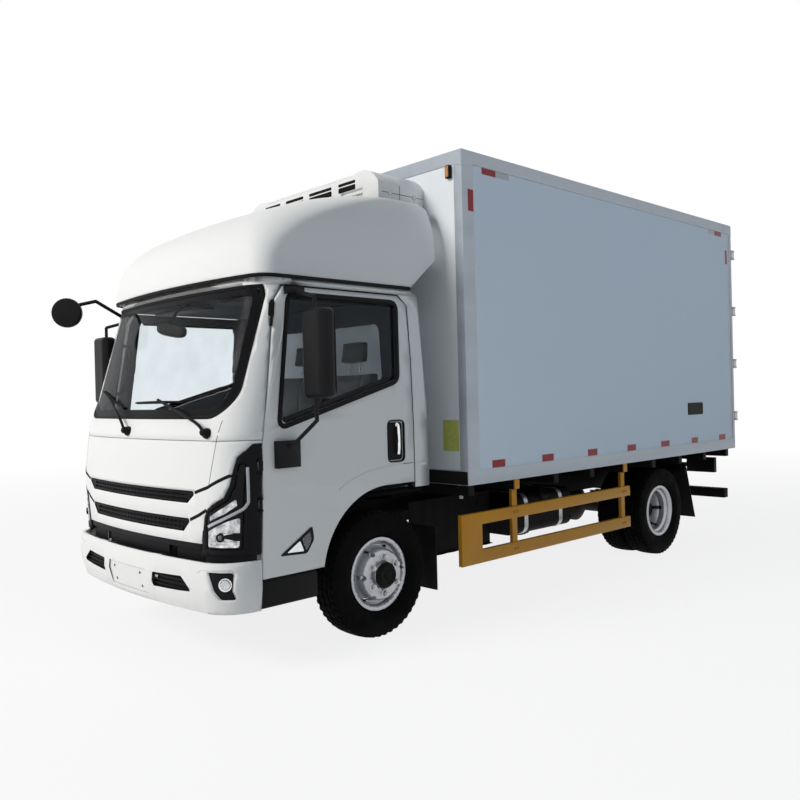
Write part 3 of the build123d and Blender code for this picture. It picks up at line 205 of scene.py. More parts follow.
class Shading:
    """The nodes of one material, with short calls for the parts that every finish needs."""

    def __init__(self, name, stretch=(1, 1, 1)):
        self.material = bpy.data.materials.new(name)
        self.material.use_nodes = True
        self.nodes = self.material.node_tree.nodes
        self.links = self.material.node_tree.links
        self.shader = self.nodes["Principled BSDF"]
        self.place = self.nodes.new("ShaderNodeTexCoord").outputs["Object"]
        spread = self.nodes.new("ShaderNodeMapping")
        spread.inputs["Scale"].default_value = stretch
        self.links.new(self.place, spread.inputs["Vector"])
        self.spread = spread.outputs["Vector"]

    def noise(self, scale, detail=4.0):
        node = self.nodes.new("ShaderNodeTexNoise")
        node.inputs["Scale"].default_value = scale
        node.inputs["Detail"].default_value = detail
        self.links.new(self.spread, node.inputs["Vector"])
        return node.outputs["Fac"]

    def ranged(self, value, low, high, to_low, to_high):
        node = self.nodes.new("ShaderNodeMapRange")
        for key, number in (("From Min", low), ("From Max", high),
                            ("To Min", to_low), ("To Max", to_high)):
            node.inputs[key].default_value = number
        self.links.new(value, node.inputs["Value"])
        return node.outputs["Result"]

    def math(self, operation, a, b):
        node = self.nodes.new("ShaderNodeMath")
        node.operation = operation
        for socket, value in zip(node.inputs, (a, b)):
            if isinstance(value, float):
                socket.default_value = value
            else:
                self.links.new(value, socket)
        return node.outputs[0]

    def blend(self, factor, first, second):
        node = self.nodes.new("ShaderNodeMix")
        node.data_type = "RGBA"
        self.links.new(factor, node.inputs["Factor"])
        for socket, value in ((node.inputs["A"], first), (node.inputs["B"], second)):
            if isinstance(value, tuple):
                socket.default_value = (*value, 1.0)
            else:
                self.links.new(value, socket)
        return node.outputs["Result"]

    def height(self):
        split = self.nodes.new("ShaderNodeSeparateXYZ")
        self.links.new(self.place, split.inputs[0])
        return split.outputs["Z"]

    def edge_normal(self, radius):
        node = self.nodes.new("ShaderNodeBevel")
        node.samples = EDGE_SAMPLES
        node.inputs["Radius"].default_value = radius
        return node.outputs["Normal"]

    def bump(self, height, strength, distance, normal=None):
        node = self.nodes.new("ShaderNodeBump")
        node.inputs["Strength"].default_value = strength
        node.inputs["Distance"].default_value = distance
        self.links.new(height, node.inputs["Height"])
        if normal:
            self.links.new(normal, node.inputs["Normal"])
        self.links.new(node.outputs["Normal"], self.shader.inputs["Normal"])

    def set(self, **values):
        for key, value in values.items():
            self.shader.inputs[key.replace("_", " ")].default_value = value


def finish(name, tones, rough, grain=300.0, bump=0.08, blotch=3.0, stretch=(1, 1, 1),
           dust=None, wear=None, edge=0.003, **constants):
    """Two blended tones, wandering roughness, fine grain, and optional dust and edge wear."""
    made = Shading(name, stretch)
    broad = made.noise(blotch)
    colour = made.blend(made.ranged(broad, *BLEND_SPAN, 0.0, 1.0), tones[0], tones[1])
    rounded = made.edge_normal(edge)
    if dust:
        low, high, dust_colour, amount = dust
        settled = made.ranged(made.height(), low, high, amount, 0.0)
        patchy = made.ranged(made.noise(DUST_SCALE, 6.0), *DUST_SPAN, *DUST_SHARE)
        colour = made.blend(made.math("MULTIPLY", settled, patchy), colour, dust_colour)
    if wear:
        worn_colour, amount = wear
        flat = made.nodes.new("ShaderNodeNewGeometry").outputs["Normal"]
        turn = made.nodes.new("ShaderNodeVectorMath")
        turn.operation = "DOT_PRODUCT"
        made.links.new(rounded, turn.inputs[0])
        made.links.new(flat, turn.inputs[1])
        edge_mask = made.ranged(turn.outputs["Value"], *WEAR_TURN, 0.0, amount)
        chipped = made.ranged(made.noise(CHIP_SCALE, 6.0), *CHIP_SPAN, 0.0, 1.0)
        colour = made.blend(made.math("MULTIPLY", edge_mask, chipped), colour, worn_colour)
    made.links.new(colour, made.shader.inputs["Base Color"])
    made.links.new(made.ranged(broad, *ROUGH_SPAN, *rough), made.shader.inputs["Roughness"])
    made.bump(made.noise(grain, 3.0), bump, GRAIN_DEPTH, rounded)
    made.set(**constants)
    return made.material


print("finish builder ready")

# %% [markdown]
# One finish per material slot of the record. Gloss paint is a diffuse coat under a clear coat,
# moulded plastic has a coarse grain, and drawn aluminium gets its noise stretched along the
# rail so that it reads as brushed. Chassis parts carry dust and chipped edges.

# %% Hard finishes
ROAD_DUST = (0.36, 0.32, 0.27)
FINISH = {
    "cab_paint": finish("warm_white_paint", ((0.81, 0.81, 0.80), (0.825, 0.825, 0.815)), (0.40, 0.44),
                        420.0, 0.02, blotch=1.2, dust=(0.35, 0.8, ROAD_DUST, 0.06), Coat_Weight=0.15,
                        Coat_Roughness=0.2, Specular_IOR_Level=0.35),
    # The box panels' white is tinted sky blue: painted blue shade, as the box sides stand in shade.
    "box_panel": finish("white_panel_painted_blue_shade", ((0.80, 0.89, 1.0), (0.815, 0.90, 1.0)), (0.44, 0.48),
                        160.0, 0.04, blotch=0.5, dust=(0.85, 1.3, ROAD_DUST, 0.05),
                        Specular_IOR_Level=0.12),
    "edge_alloy": finish("drawn_aluminium", ((0.40, 0.44, 0.49), (0.47, 0.51, 0.56)), (0.42, 0.52),
                         900.0, 0.05, 5.0, (1.0, 0.06, 1.0), Metallic=0.35),
    "chassis_black": finish("frame_black", ((0.003, 0.003, 0.004), (0.006, 0.006, 0.006)), (0.55, 0.75),
                            260.0, 0.12, dust=(0.2, 0.7, ROAD_DUST, 0.05), wear=((0.07, 0.065, 0.06), 0.5),
                            Specular_IOR_Level=0.08),
    "black_plastic": finish("grained_plastic", ((0.004, 0.004, 0.005), (0.007, 0.007, 0.008)),
                            (0.42, 0.55), 700.0, 0.2, dust=(0.2, 0.6, ROAD_DUST, 0.03),
                            Specular_IOR_Level=0.1),
    "guard_yellow": finish("guard_yellow_paint", ((0.60, 0.26, 0.012), (0.66, 0.30, 0.018)), (0.35, 0.5),
                           300.0, 0.08, dust=(0.3, 0.6, ROAD_DUST, 0.05), wear=((0.30, 0.14, 0.03), 0.6),
                           Specular_IOR_Level=0.3),
    "wheel_silver": finish("wheel_silver_paint", ((0.42, 0.43, 0.46), (0.50, 0.51, 0.54)), (0.28, 0.40),
                           500.0, 0.05, 8.0, dust=(0.1, 0.7, (0.10, 0.09, 0.08), 0.12), Metallic=0.75,
                           Coat_Weight=0.2),
    "tyre_rubber": finish("tyre_rubber", ((0.002, 0.002, 0.002), (0.004, 0.004, 0.004)), (0.7, 0.9),
                          600.0, 0.2, 12.0, dust=(0.0, 0.12, ROAD_DUST, 0.06), Specular_IOR_Level=0.05),
    "cast_iron": finish("cast_iron", ((0.030, 0.027, 0.025), (0.06, 0.045, 0.035)), (0.55, 0.8),
                        220.0, 0.35, 14.0, Metallic=0.4, Specular_IOR_Level=0.2),
    "bare_steel": finish("zinced_steel", ((0.42, 0.43, 0.44), (0.55, 0.56, 0.57)), (0.3, 0.5),
                         420.0, 0.08, 10.0, Metallic=0.9, wear=((0.30, 0.28, 0.26), 0.5)),
    "mirror_black": finish("mirror_housing_black", ((0.007, 0.007, 0.008), (0.011, 0.011, 0.012)),
                           (0.30, 0.42), 900.0, 0.15, Specular_IOR_Level=0.12),
    "dash_grey": finish("soft_dash_grey", ((0.030, 0.031, 0.033), (0.040, 0.041, 0.044)), (0.6, 0.75),
                        520.0, 0.3, Specular_IOR_Level=0.25),
    "flap_rubber": finish("flap_rubber", ((0.006, 0.006, 0.006), (0.011, 0.011, 0.010)), (0.65, 0.85),
                          120.0, 0.25, dust=(0.2, 0.5, ROAD_DUST, 0.08), Specular_IOR_Level=0.12),
}
print(len(FINISH), "hard finishes")

# %% [markdown]
# Glass is a clear, slightly tinted sheet with a breath of dirt in its roughness. A pane bends
# light in and straight out again, so a low IOR keeps its edge quiet, and the reflection comes
# from a thin clear coat instead. Lamp lenses are the same idea with fine moulded ribs, so light
# breaks up in them. Seat cloth is two crossed wave textures, which read as warp and weft at the
# scale of a thread. The box's front wall faces the sun, so it gets a whiter, less blue copy of
# the panel finish: painted sunlight, against the painted blue shade of the other panels.

# %% Glass, lenses and cloth


def glass(name, tint, shine, dirt=0.03):
    made = Shading(name)
    haze = made.noise(5.0, 6.0)
    made.links.new(made.ranged(haze, 0.45, 0.75, 0.0, dirt), made.shader.inputs["Roughness"])
    made.links.new(made.blend(made.ranged(haze, 0.4, 0.7, 0.0, 1.0), tint,
                              tuple(0.94 * t for t in tint)), made.shader.inputs["Base Color"])
    made.set(Transmission_Weight=1.0, IOR=PANE_IOR, Coat_Weight=shine, Coat_Roughness=0.02)
    return made.material


def lens(name, tint, ribs=260.0, clear=0.75):
    made = Shading(name)
    wave = made.nodes.new("ShaderNodeTexWave")
    wave.bands_direction = "Z"
    wave.inputs["Scale"].default_value = ribs
    made.links.new(made.place, wave.inputs["Vector"])
    tone = made.blend(made.ranged(made.noise(40.0), 0.3, 0.7, 0.0, 1.0), tint,
                      tuple(0.8 * t for t in tint))
    made.links.new(tone, made.shader.inputs["Base Color"])
    made.links.new(made.ranged(made.noise(60.0), 0.3, 0.7, 0.05, 0.15), made.shader.inputs["Roughness"])
    made.bump(wave.outputs["Fac"], 0.3, 0.001)
    made.set(Transmission_Weight=clear, IOR=LENS_IOR)
    return made.material


def woven(name, tones, thread=900.0):
    made = Shading(name)
    threads = []
    for direction in ("X", "Z"):
        wave = made.nodes.new("ShaderNodeTexWave")
        wave.bands_direction = direction
        wave.inputs["Scale"].default_value = thread / 20.0
        wave.inputs["Distortion"].default_value = 0.6
        made.links.new(made.place, wave.inputs["Vector"])
        threads.append(wave.outputs["Fac"])
    weave = made.math("MULTIPLY", threads[0], threads[1])
    fleck = made.math("ADD", made.math("MULTIPLY", weave, 0.5),
                      made.math("MULTIPLY", made.noise(60.0), 0.5))
    made.links.new(made.blend(fleck, *tones), made.shader.inputs["Base Color"])
    made.links.new(made.ranged(fleck, 0.0, 1.0, 0.75, 0.95), made.shader.inputs["Roughness"])
    made.bump(weave, 0.4, 0.0015)
    made.set(Sheen_Weight=0.25)
    return made.material


PANE_IOR, LENS_IOR = 1.06, 1.49
FINISH["tinted_glass"] = glass("windscreen_glass", (0.95, 0.975, 0.985), 0.06)
FINISH["lamp_clear"] = lens("clear_lens", (0.88, 0.90, 0.92), 180.0, 0.85)
FINISH["seat_cloth"] = woven("seat_cloth", ((0.03, 0.033, 0.038), (0.09, 0.095, 0.105)))
DOOR_GLASS = glass("door_window_glass", (0.80, 0.85, 0.88), 0.1)
RED_LENS = lens("red_lens", (0.45, 0.01, 0.012), clear=0.35)
AMBER_LENS = lens("amber_lens", (0.85, 0.30, 0.02), clear=0.35)
RUBBER = finish("window_rubber", ((0.004, 0.004, 0.004), (0.008, 0.008, 0.008)), (0.45, 0.6), 500.0, 0.15,
                Specular_IOR_Level=0.1)
MIRROR_GLASS = finish("mirror_silvering", ((0.80, 0.82, 0.84), (0.86, 0.88, 0.90)), (0.02, 0.06),
                      80.0, 0.01, Metallic=1.0)
CHROME = finish("bright_reflector", ((0.74, 0.75, 0.77), (0.86, 0.87, 0.89)), (0.06, 0.16), 300.0, 0.03, 30.0,
                Metallic=1.0)
for name, node in NODES.items():
    node.data.materials.clear()
    node.data.materials.append(FINISH[SLOT_OF[name]])
for side in ("left", "right"):
    NODES["door_glass_" + side].data.materials[0] = DOOR_GLASS
# A whiter, less blue copy of the panel finish for the sunlit front wall: painted sunlight.
SUNLIT_WALL_PAINT = finish("front_panel_painted_sunlight", ((0.80, 0.83, 0.86), (0.82, 0.85, 0.88)), (0.44, 0.48),
                    160.0, 0.04, 0.5, Specular_IOR_Level=0.3)
NODES["box_wall_front"].data.materials[0] = SUNLIT_WALL_PAINT
print("finishes on", len(NODES), "solids")

# %% [markdown]
# A CAD solid meets its neighbours in knife edges, which no pressed panel has. Modifiers leave
# the solid's own mesh alone: Weld joins the split corners of the imported mesh, and on the
# nodes in the table Decimate first joins flat faces, so that Bevel can turn their sharp edges
# into small rounds. The shading is smooth up to thirty degrees, so lofted panels show no facets.
# Where nothing is bevelled, Weighted Normal lets big faces win over small ones, so a flat wall
# stays flat up to its edge.

# %% Round the solids' edges
BEVEL_MM = {"side_guards": 4.0, "rear_underrun_bar": 4.0, "side_steps": 3.0, "battery_box": 8.0,
            "refrigeration_unit": 14.0, "box_edge_rails": 1.2, "ladder_frame": 2.0, "engine_block": 6.0,
            "cargo_door_left": 4.0, "cargo_door_right": 4.0, "box_rear_frame": 3.0, "mud_flaps": 2.0,
            "signal_lamps": 5.0, "box_floor": 2.0}
SMOOTH_ANGLE, FLAT_ANGLE, WELD_REACH = math.radians(30), math.radians(1), 1e-5


def smooth_by_angle(mesh, angle=SMOOTH_ANGLE):
    mesh.shade_smooth()
    mesh.set_sharp_from_angle(angle=angle)


for name, node in NODES.items():
    weld = node.modifiers.new("join_corners", "WELD")
    weld.merge_threshold = WELD_REACH
    if name in BEVEL_MM:
        flatten = node.modifiers.new("whole_faces", "DECIMATE")
        flatten.decimate_type = "DISSOLVE"
        flatten.angle_limit = FLAT_ANGLE
        round_edge = node.modifiers.new("round_edge", "BEVEL")
        round_edge.width = BEVEL_MM[name] / 1000
        round_edge.segments = 2
        round_edge.limit_method = "ANGLE"
        round_edge.angle_limit = SMOOTH_ANGLE
        round_edge.harden_normals = True
    smooth_by_angle(node.data)
    if name not in BEVEL_MM:
        even = node.modifiers.new("even_shading", "WEIGHTED_NORMAL")
        even.keep_sharp = True
        even.weight = 100
print(len(BEVEL_MM), "solids with rounded edges")

# %% [markdown]
# Every further piece is a mesh drawn straight in the truck's own frame, so it needs no moving.
# One helper turns a bmesh into a piece: it sets the shading, the finish of a slot and the body
# the piece rides on. A wheel is a lathe job, so the first shape maker spins a profile round
# an axle.

# %% Piece maker and lathe


def make(name, bm, body, slot, finish_of=None, replaces=(), angle=SMOOTH_ANGLE):
    """A finished mesh becomes a piece that rides on a body and takes a slot's finish."""
    bmesh.ops.remove_doubles(bm, verts=bm.verts, dist=1e-6)
    bmesh.ops.recalc_face_normals(bm, faces=bm.faces)
    mesh = bpy.data.meshes.new(name)
    bm.to_mesh(mesh)
    bm.free()
    smooth_by_angle(mesh, angle)
    piece = bpy.data.objects.new(name, mesh)
    bpy.context.scene.collection.objects.link(piece)
    mesh.materials.append(finish_of or FINISH[slot])
    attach(piece, body)
    if replaces:
        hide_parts(*replaces)
    return piece


def spin(bm, rings, centre, steps):
    """Join rings of (x, r) samples into a skin round the X axis; rings[i] is at step i."""
    loops = []
    for step in range(steps):
        turn = 2 * math.pi * step / steps
        loops.append([bm.verts.new(centre + Vector((x, r * math.cos(turn), r * math.sin(turn))))
                      for x, r in rings[step % len(rings)]])
    count = len(loops[0])
    for step in range(steps):
        here, there = loops[step], loops[(step + 1) % steps]
        for k in range(count - 1):
            bm.faces.new((here[k], here[k + 1], there[k + 1], there[k]))
    return loops


SIDES = (("left", 1), ("right", -1))
print("piece maker ready")

# %% [markdown]
# A tyre could be a smooth ring with a bump map, but tread shows on the outline, so it is real
# geometry: the section is sampled once per step round the wheel, and grooves are cut by
# lowering the radius where a zigzag groove or a cross slot passes. The sidewall keeps plain
# raised rings and a ribbed shoulder, with no lettering.

# %% Tyres
TYRE_R, TYRE_HALF = 0.387, 0.100
TREAD_HALF, TREAD_COLUMNS, CROWN_DROP, GROOVE_DEPTH = 0.084, 34, 0.006, 0.011
AROUND, ZIGZAGS, ZIGZAG_OUT, CROSS_SLOTS = 288, 24, 0.006, 48
GROOVES_ACROSS = ((-0.048, 0.0045), (0.0, 0.005), (0.048, 0.0045))
SHOULDER, SHOULDER_RIB, RIB_STEPS = (0.0895, 0.3720), 0.0022, 6
SIDEWALL = ((0.0655, 0.204), (0.0660, 0.226), (0.078, 0.236), (0.087, 0.252), (0.0935, 0.268),
            (0.0945, 0.271), (0.0965, 0.276), (0.0990, 0.292), (0.1000, 0.306), (0.0990, 0.322),
            (0.0975, 0.327), (0.0985, 0.331), (0.0960, 0.345), (0.0945, 0.352), (0.0920, 0.362))


def tread_radius(across, turn):
    """Crowned tread, lowered where a groove passes."""
    crown = TYRE_R - CROWN_DROP * (abs(across) / TREAD_HALF) ** 2.5
    wave = ZIGZAG_OUT * (2 * abs(2 * ((turn * ZIGZAGS) % 1.0) - 1) - 1)
    for groove, half in GROOVES_ACROSS:
        if abs(across - groove - wave) < half:
            return crown - GROOVE_DEPTH
    if abs(across) > 0.066 and (turn * CROSS_SLOTS) % 1.0 < 0.34:
        return crown - GROOVE_DEPTH * 0.8
    if 0.012 < abs(across) < 0.040 and (turn * CROSS_SLOTS + 0.5) % 1.0 < 0.17:
        return crown - GROOVE_DEPTH * 0.5
    return crown


def tyre_rings():
    across = [TREAD_HALF * (2 * k / (TREAD_COLUMNS - 1) - 1) for k in range(TREAD_COLUMNS)]
    rings = []
    for step in range(AROUND):
        turn = step / AROUND
        rib = SHOULDER_RIB if step % RIB_STEPS < RIB_STEPS // 2 else 0.0
        side = [*SIDEWALL, (SHOULDER[0] - rib, SHOULDER[1])]
        tread = [(x, tread_radius(x, turn)) for x in across]
        rings.append([(-x, r) for x, r in side] + tread + [(x, r) for x, r in reversed(side)])
    return rings


def tyre_planes(node):
    """Middles of the tyres in a node, told from how wide it is."""
    low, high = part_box(node)
    middle = (low + high) / 2
    spare = (high.x - low.x) / 2 - TYRE_HALF
    offsets = (-spare, spare) if spare > 0.01 else (0.0,)
    return [middle + Vector((offset, 0, 0)) for offset in offsets]


rings = tyre_rings()
WHEEL_BODIES = (("front", "front_wheel_"), ("rear", "rear_wheels_"))
for axle, body in WHEEL_BODIES:
    for side, _ in SIDES:
        bm = bmesh.new()
        for centre in tyre_planes(f"tyre_{axle}_{side}"):
            spin(bm, rings, centre, AROUND)
        tyre = make(f"tread_tyre_{axle}_{side}", bm, body + side, "tyre_rubber",
                    replaces=[f"tyre_{axle}_{side}"], angle=math.radians(40))
print("tyres of", len(tyre.data.polygons), "faces a pair")

# %% [markdown]
# The pressed steel wheel is already in the CAD node, so only its small parts are added: a
# flanged nut on each stud, the ringed hub cap and a valve. They could be one bumped disc, but a
# turned profile is cheap to draw, so each is real and catches the light on its own edges.

# %% Wheel nuts, hub caps and valves
STUD_R, STUDS, NUT_R = 0.111, 6, 0.0175
NUT_FLANGE = ((0.0, 0.0235), (0.004, 0.0235), (0.006, 0.0195))
STUD_END = ((0.0, 0.0105), (0.010, 0.0105), (0.012, 0.008))
HUB_CAP = ((0.0, 0.078), (0.012, 0.077), (0.014, 0.070), (0.024, 0.068), (0.032, 0.062),
           (0.0325, 0.050), (0.029, 0.046), (0.029, 0.030), (0.034, 0.027), (0.036, 0.015))
VALVE = ((0.0, 0.006), (0.03, 0.005), (0.032, 0.0038), (0.052, 0.0038), (0.053, 0.0045),
         (0.062, 0.0045))


def frustum(bm, base, axis, r0, r1, height, sides=24, turn=0.0, caps=True):
    """A round or many-sided bar from base along axis, closed at both ends."""
    axis = Vector(axis).normalized()
    u = axis.orthogonal().normalized()
    v = axis.cross(u)
    loops = []
    for r, h in ((r0, 0.0), (r1, height)):
        loops.append([bm.verts.new(base + axis * h + r * (math.cos(a) * u + math.sin(a) * v))
                      for a in (2 * math.pi * k / sides + turn for k in range(sides))])
    for k in range(sides):
        n = (k + 1) % sides
        bm.faces.new((loops[0][k], loops[0][n], loops[1][n], loops[1][k]))
    if caps:
        bm.faces.new(list(reversed(loops[0])))
        bm.faces.new(loops[1])


def turned(bm, base, axis, profile, sides=32):
    """A lathe-turned knob: (height, radius) steps from base along axis, closed at the ends."""
    axis = Vector(axis).normalized()
    u = axis.orthogonal().normalized()
    v = axis.cross(u)
    loops = [[bm.verts.new(base + axis * h + r * (math.cos(a) * u + math.sin(a) * v))
              for a in (2 * math.pi * k / sides for k in range(sides))] for h, r in profile]
    for first, second in zip(loops, loops[1:]):
        for k in range(sides):
            n = (k + 1) % sides
            bm.faces.new((first[k], first[n], second[n], second[k]))
    bm.faces.new(list(reversed(loops[0])))
    bm.faces.new(loops[-1])


WHEEL_FACES = {"front": (0.970, 0.992), "rear": (0.770, 0.840)}
for axle, body in WHEEL_BODIES:
    for side, sign in SIDES:
        disc_x, cap_x = WHEEL_FACES[axle]
        low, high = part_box(f"rim_{axle}_{side}")
        hub = Vector((0, (low.y + high.y) / 2, (low.z + high.z) / 2))
        outward = Vector((sign, 0, 0))
        nuts = bmesh.new()
        for k in range(STUDS):
            turn = math.radians(360 / STUDS * k)
            spot = hub + Vector((sign * disc_x, -STUD_R * math.sin(turn), STUD_R * math.cos(turn)))
            turned(nuts, spot, outward, NUT_FLANGE)
            frustum(nuts, spot + outward * 0.006, outward, NUT_R + 0.0015, NUT_R, 0.020, 6, turn)
            turned(nuts, spot + outward * 0.024, outward, STUD_END, 16)
        make(f"wheel_nuts_{axle}_{side}", nuts, body + side, "bare_steel")
        cap = bmesh.new()
        turned(cap, hub + Vector((sign * (cap_x - 0.010), 0, 0)), outward, HUB_CAP, 48)
        make(f"hub_cap_{axle}_{side}", cap, body + side, "chassis_black")
        valve = bmesh.new()
        root = hub + Vector((sign * (disc_x - 0.045), 0.170, 0.02))
        turned(valve, root, Vector((sign, -0.35, 0)), VALVE, 12)
        make(f"tyre_valve_{axle}_{side}", valve, body + side, "black_plastic")
print("nuts, caps and valves on four wheels")

# %% [markdown]
# A pressed panel is painted outside and trimmed inside. Both sides belong to one solid here,
# so the inner faces only change their material index: a face of the cab that looks towards
# the middle of the cab gets grained trim, whose dark blue-grey is partly painted shade inside the
# cab. The hinge lugs at the door's front edge and the inner edges of the slots in the front are
# black as painted shade of the door gap and the slots, and the undersides of floors and frame are
# black.

# %% Inner trim and black underside
CAB_HEART = at(0.0, -0.25, 1.55)
# Dark blue-grey trim: partly the trim's own colour, partly painted shade inside the cab.
CAB_TRIM_AND_SHADE = finish("cab_inner_trim_and_painted_shade", ((0.030, 0.040, 0.052), (0.042, 0.053, 0.066)), (0.65, 0.8), 520.0, 0.3,
                  Specular_IOR_Level=0.15)
# how squarely a face has to look at the cab's middle to count as an inner one
DOOR_FACING, PANEL_FACING = 0.25, -0.1
LUG_X, LUG_Z, LUG_Y = 0.938, (0.85, 1.16), {"cab_front": -0.81, "door_left": -0.842,
                                            "door_right": -0.842}
SLOT_X, SLOT_FACING, SLOT_Z = 0.72, -0.5, {"front_panel": (0.74, 1.00),
                                           "front_bumper": (0.42, 0.54)}
UNDERSIDE_Z = {"box_floor": 0.8805, "box_rear_frame": 0.8725, "cab_floor": 0.8505}


def recolour(name, coat, chosen):
    """Give the faces of a solid that are chosen one more finish, and count them."""
    panel = NODES[name].data
    panel.materials.append(coat)
    faces = [facet for facet in panel.polygons if chosen(facet)]
    for facet in faces:
        facet.material_index = len(panel.materials) - 1
    return len(faces)


def looks_in(facet, facing):
    inward = CAB_HEART - facet.center
    return facet.normal.dot(inward) > facing * inward.length


def is_lug(facet, edge_y):
    return (abs(facet.center.x) > LUG_X and facet.center.y - AXLE_Y < edge_y
            and LUG_Z[0] < facet.center.z < LUG_Z[1])


def is_slot_edge(facet, low, high):
    return (abs(facet.center.x) < SLOT_X and low < facet.center.z < high
            and facet.normal.y > SLOT_FACING)


recoloured = 0
for name in ("cab_front", "cab_back", "cab_roof", "cab_floor", "door_left", "door_right"):
    facing = DOOR_FACING if "door" in name else PANEL_FACING
    recoloured += recolour(name, CAB_TRIM_AND_SHADE, lambda facet: looks_in(facet, facing))
# Black on the hinge lugs is painted shade, so they sink into the door gap.
for name, edge_y in LUG_Y.items():
    recoloured += recolour(name, FINISH["black_plastic"], lambda facet: is_lug(facet, edge_y))
# Black on the slots' inner walls is painted shade in the recesses.
for name, (low, high) in SLOT_Z.items():
    recoloured += recolour(name, FINISH["black_plastic"],
                           lambda facet: is_slot_edge(facet, low, high))
for name, edge_z in UNDERSIDE_Z.items():
    recoloured += recolour(name, FINISH["chassis_black"], lambda facet: facet.center.z < edge_z)
print(recoloured, "faces trimmed inside or black")

# %% [markdown]
# Seals, seams, lamps and labels all follow the panel they sit on. Modelling each by eye would
# leave gaps, so they are drawn flat, as a stencil seen from the front or from a side, and each
# point is then shot at the solids with a ray. The point that is hit carries the piece, and the
# normal there says which way is out.

# %% Laying trim on the solids
SINK = 0.0015
LOOKS = {"front": (lambda u, v: at(u, -4.0, v), Vector((0, 1, 0))),
         "rear": (lambda u, v: at(u, 8.0, v), Vector((0, -1, 0))),
         "left": (lambda u, v: at(4.0, u, v), Vector((-1, 0, 0))),
         "right": (lambda u, v: at(-4.0, u, v), Vector((1, 0, 0))),
         "top": (lambda u, v: at(u, v, 6.0), Vector((0, 0, -1)))}


def skin_of(*names):
    """The faces of some solids as one tree that rays can be shot at."""
    points, facets = [], []
    for name in names:
        mesh = NODES[name].data
        first = len(points)
        points += [vertex.co.copy() for vertex in mesh.vertices]
        facets += [[first + i for i in facet.vertices] for facet in mesh.polygons]
    return BVHTree.FromPolygons(points, facets)


def lay(skin, look, u, v):
    """Where a stencil point lands on a skin, and the way out there."""
    start, way = LOOKS[look][0](u, v), LOOKS[look][1]
    spot, normal, _, _ = skin.ray_cast(start, way)
    if spot is None:
        spot, normal, _, _ = skin.find_nearest(start + 4.0 * way)
    return spot, (-normal if normal.dot(way) > 0 else normal)


def dense(outline, step, closed):
    """More points along the straight runs of an outline."""
    ends = outline[1:] + (outline[:1] if closed else [])
    points = []
    for (u0, v0), (u1, v1) in zip(outline, ends):
        count = max(1, math.ceil(math.hypot(u1 - u0, v1 - v0) / step))
        points += [(u0 + (u1 - u0) * k / count, v0 + (v1 - v0) * k / count) for k in range(count)]
    return points if closed else points + outline[-1:]


print(len(LOOKS), "ways to look at a stencil")

# %% [markdown]
# A stencil is a list of corner points. Real pressings and mouldings have round corners, and a
# border often runs beside an edge rather than on it, so one helper rounds a stencil's corners,
# one moves it outwards or inwards, and one turns a left-hand stencil into a right-hand one.

# %% Shaping a stencil


def eased(outline, radius, closed=True, steps=5):
    """An outline with its corners rounded."""
    points, count = [], len(outline)
    for i, corner in enumerate(outline):
        if not closed and i in (0, count - 1):
            points.append(tuple(corner))
            continue
        here = Vector(corner)
        back_way = Vector(outline[i - 1]) - here
        on_way = Vector(outline[(i + 1) % count]) - here
        reach = min(radius, 0.48 * back_way.length, 0.48 * on_way.length)
        first = here + back_way.normalized() * reach
        last = here + on_way.normalized() * reach
        for k in range(steps + 1):
            t = k / steps
            spot = first * (1 - t) ** 2 + here * 2 * t * (1 - t) + last * t * t
            points.append((spot.x, spot.y))
    return points


def grown(outline, out):
    """A closed outline moved outwards, or inwards where out is below zero."""
    area = sum(a[0] * b[1] - b[0] * a[1] for a, b in zip(outline, outline[1:] + outline[:1]))
    moved, count = [], len(outline)
    for k, (u, v) in enumerate(outline):
        way = Vector(outline[(k + 1) % count]) - Vector(outline[k - 1])
        way = way.normalized() * math.copysign(out, area)
        moved.append((u + way.y, v - way.x))
    return moved


def mirrored(outline, sign):
    return [(sign * u, v) for u, v in outline]


print("stencils can be rounded, moved and mirrored")

# %% [markdown]
# A seal is a bead with round shoulders, a label or a lens is a sheet, a handle is a bent bar, and
# a moulding is a loft through rings. Curve objects with a bevel could make most of these, but a
# mesh made point by point keeps to the normals that the rays found, so the helpers build meshes.

# %% Beads, sheets, bars and lofts
BEAD = ((-1.0, None), (-0.92, 0.65), (-0.6, 1.0), (0.6, 1.0), (0.92, 0.65), (1.0, None))


def bead(bm, spots, width, height, closed=False):
    """A raised strip with rounded shoulders along (point, normal) spots."""
    count, loops = len(spots), []
    for k, (spot, normal) in enumerate(spots):
        behind = spots[k - 1][0] if closed or k else spot
        ahead = spots[(k + 1) % count][0] if closed or k < count - 1 else spot
        across = (ahead - behind).cross(normal).normalized()
        loops.append([bm.verts.new(spot + across * (0.5 * width * s)
                                   + normal * (-SINK if h is None else h * height)) for s, h in BEAD])
    for k in range(count if closed else count - 1):
        here, there = loops[k], loops[(k + 1) % count]
        for j in range(len(BEAD)):
            n = (j + 1) % len(BEAD)
            bm.faces.new((here[j], here[n], there[n], there[j]))
    if not closed:
        bm.faces.new(loops[0])
        bm.faces.new(list(reversed(loops[-1])))


def strip(bm, skin, look, outline, width, height, closed=False, step=0.03):
    """A bead along a stencil line, laid on a skin."""
    spots = [lay(skin, look, u, v) for u, v in dense(list(outline), step, closed)]
    bead(bm, spots, width, height, closed)


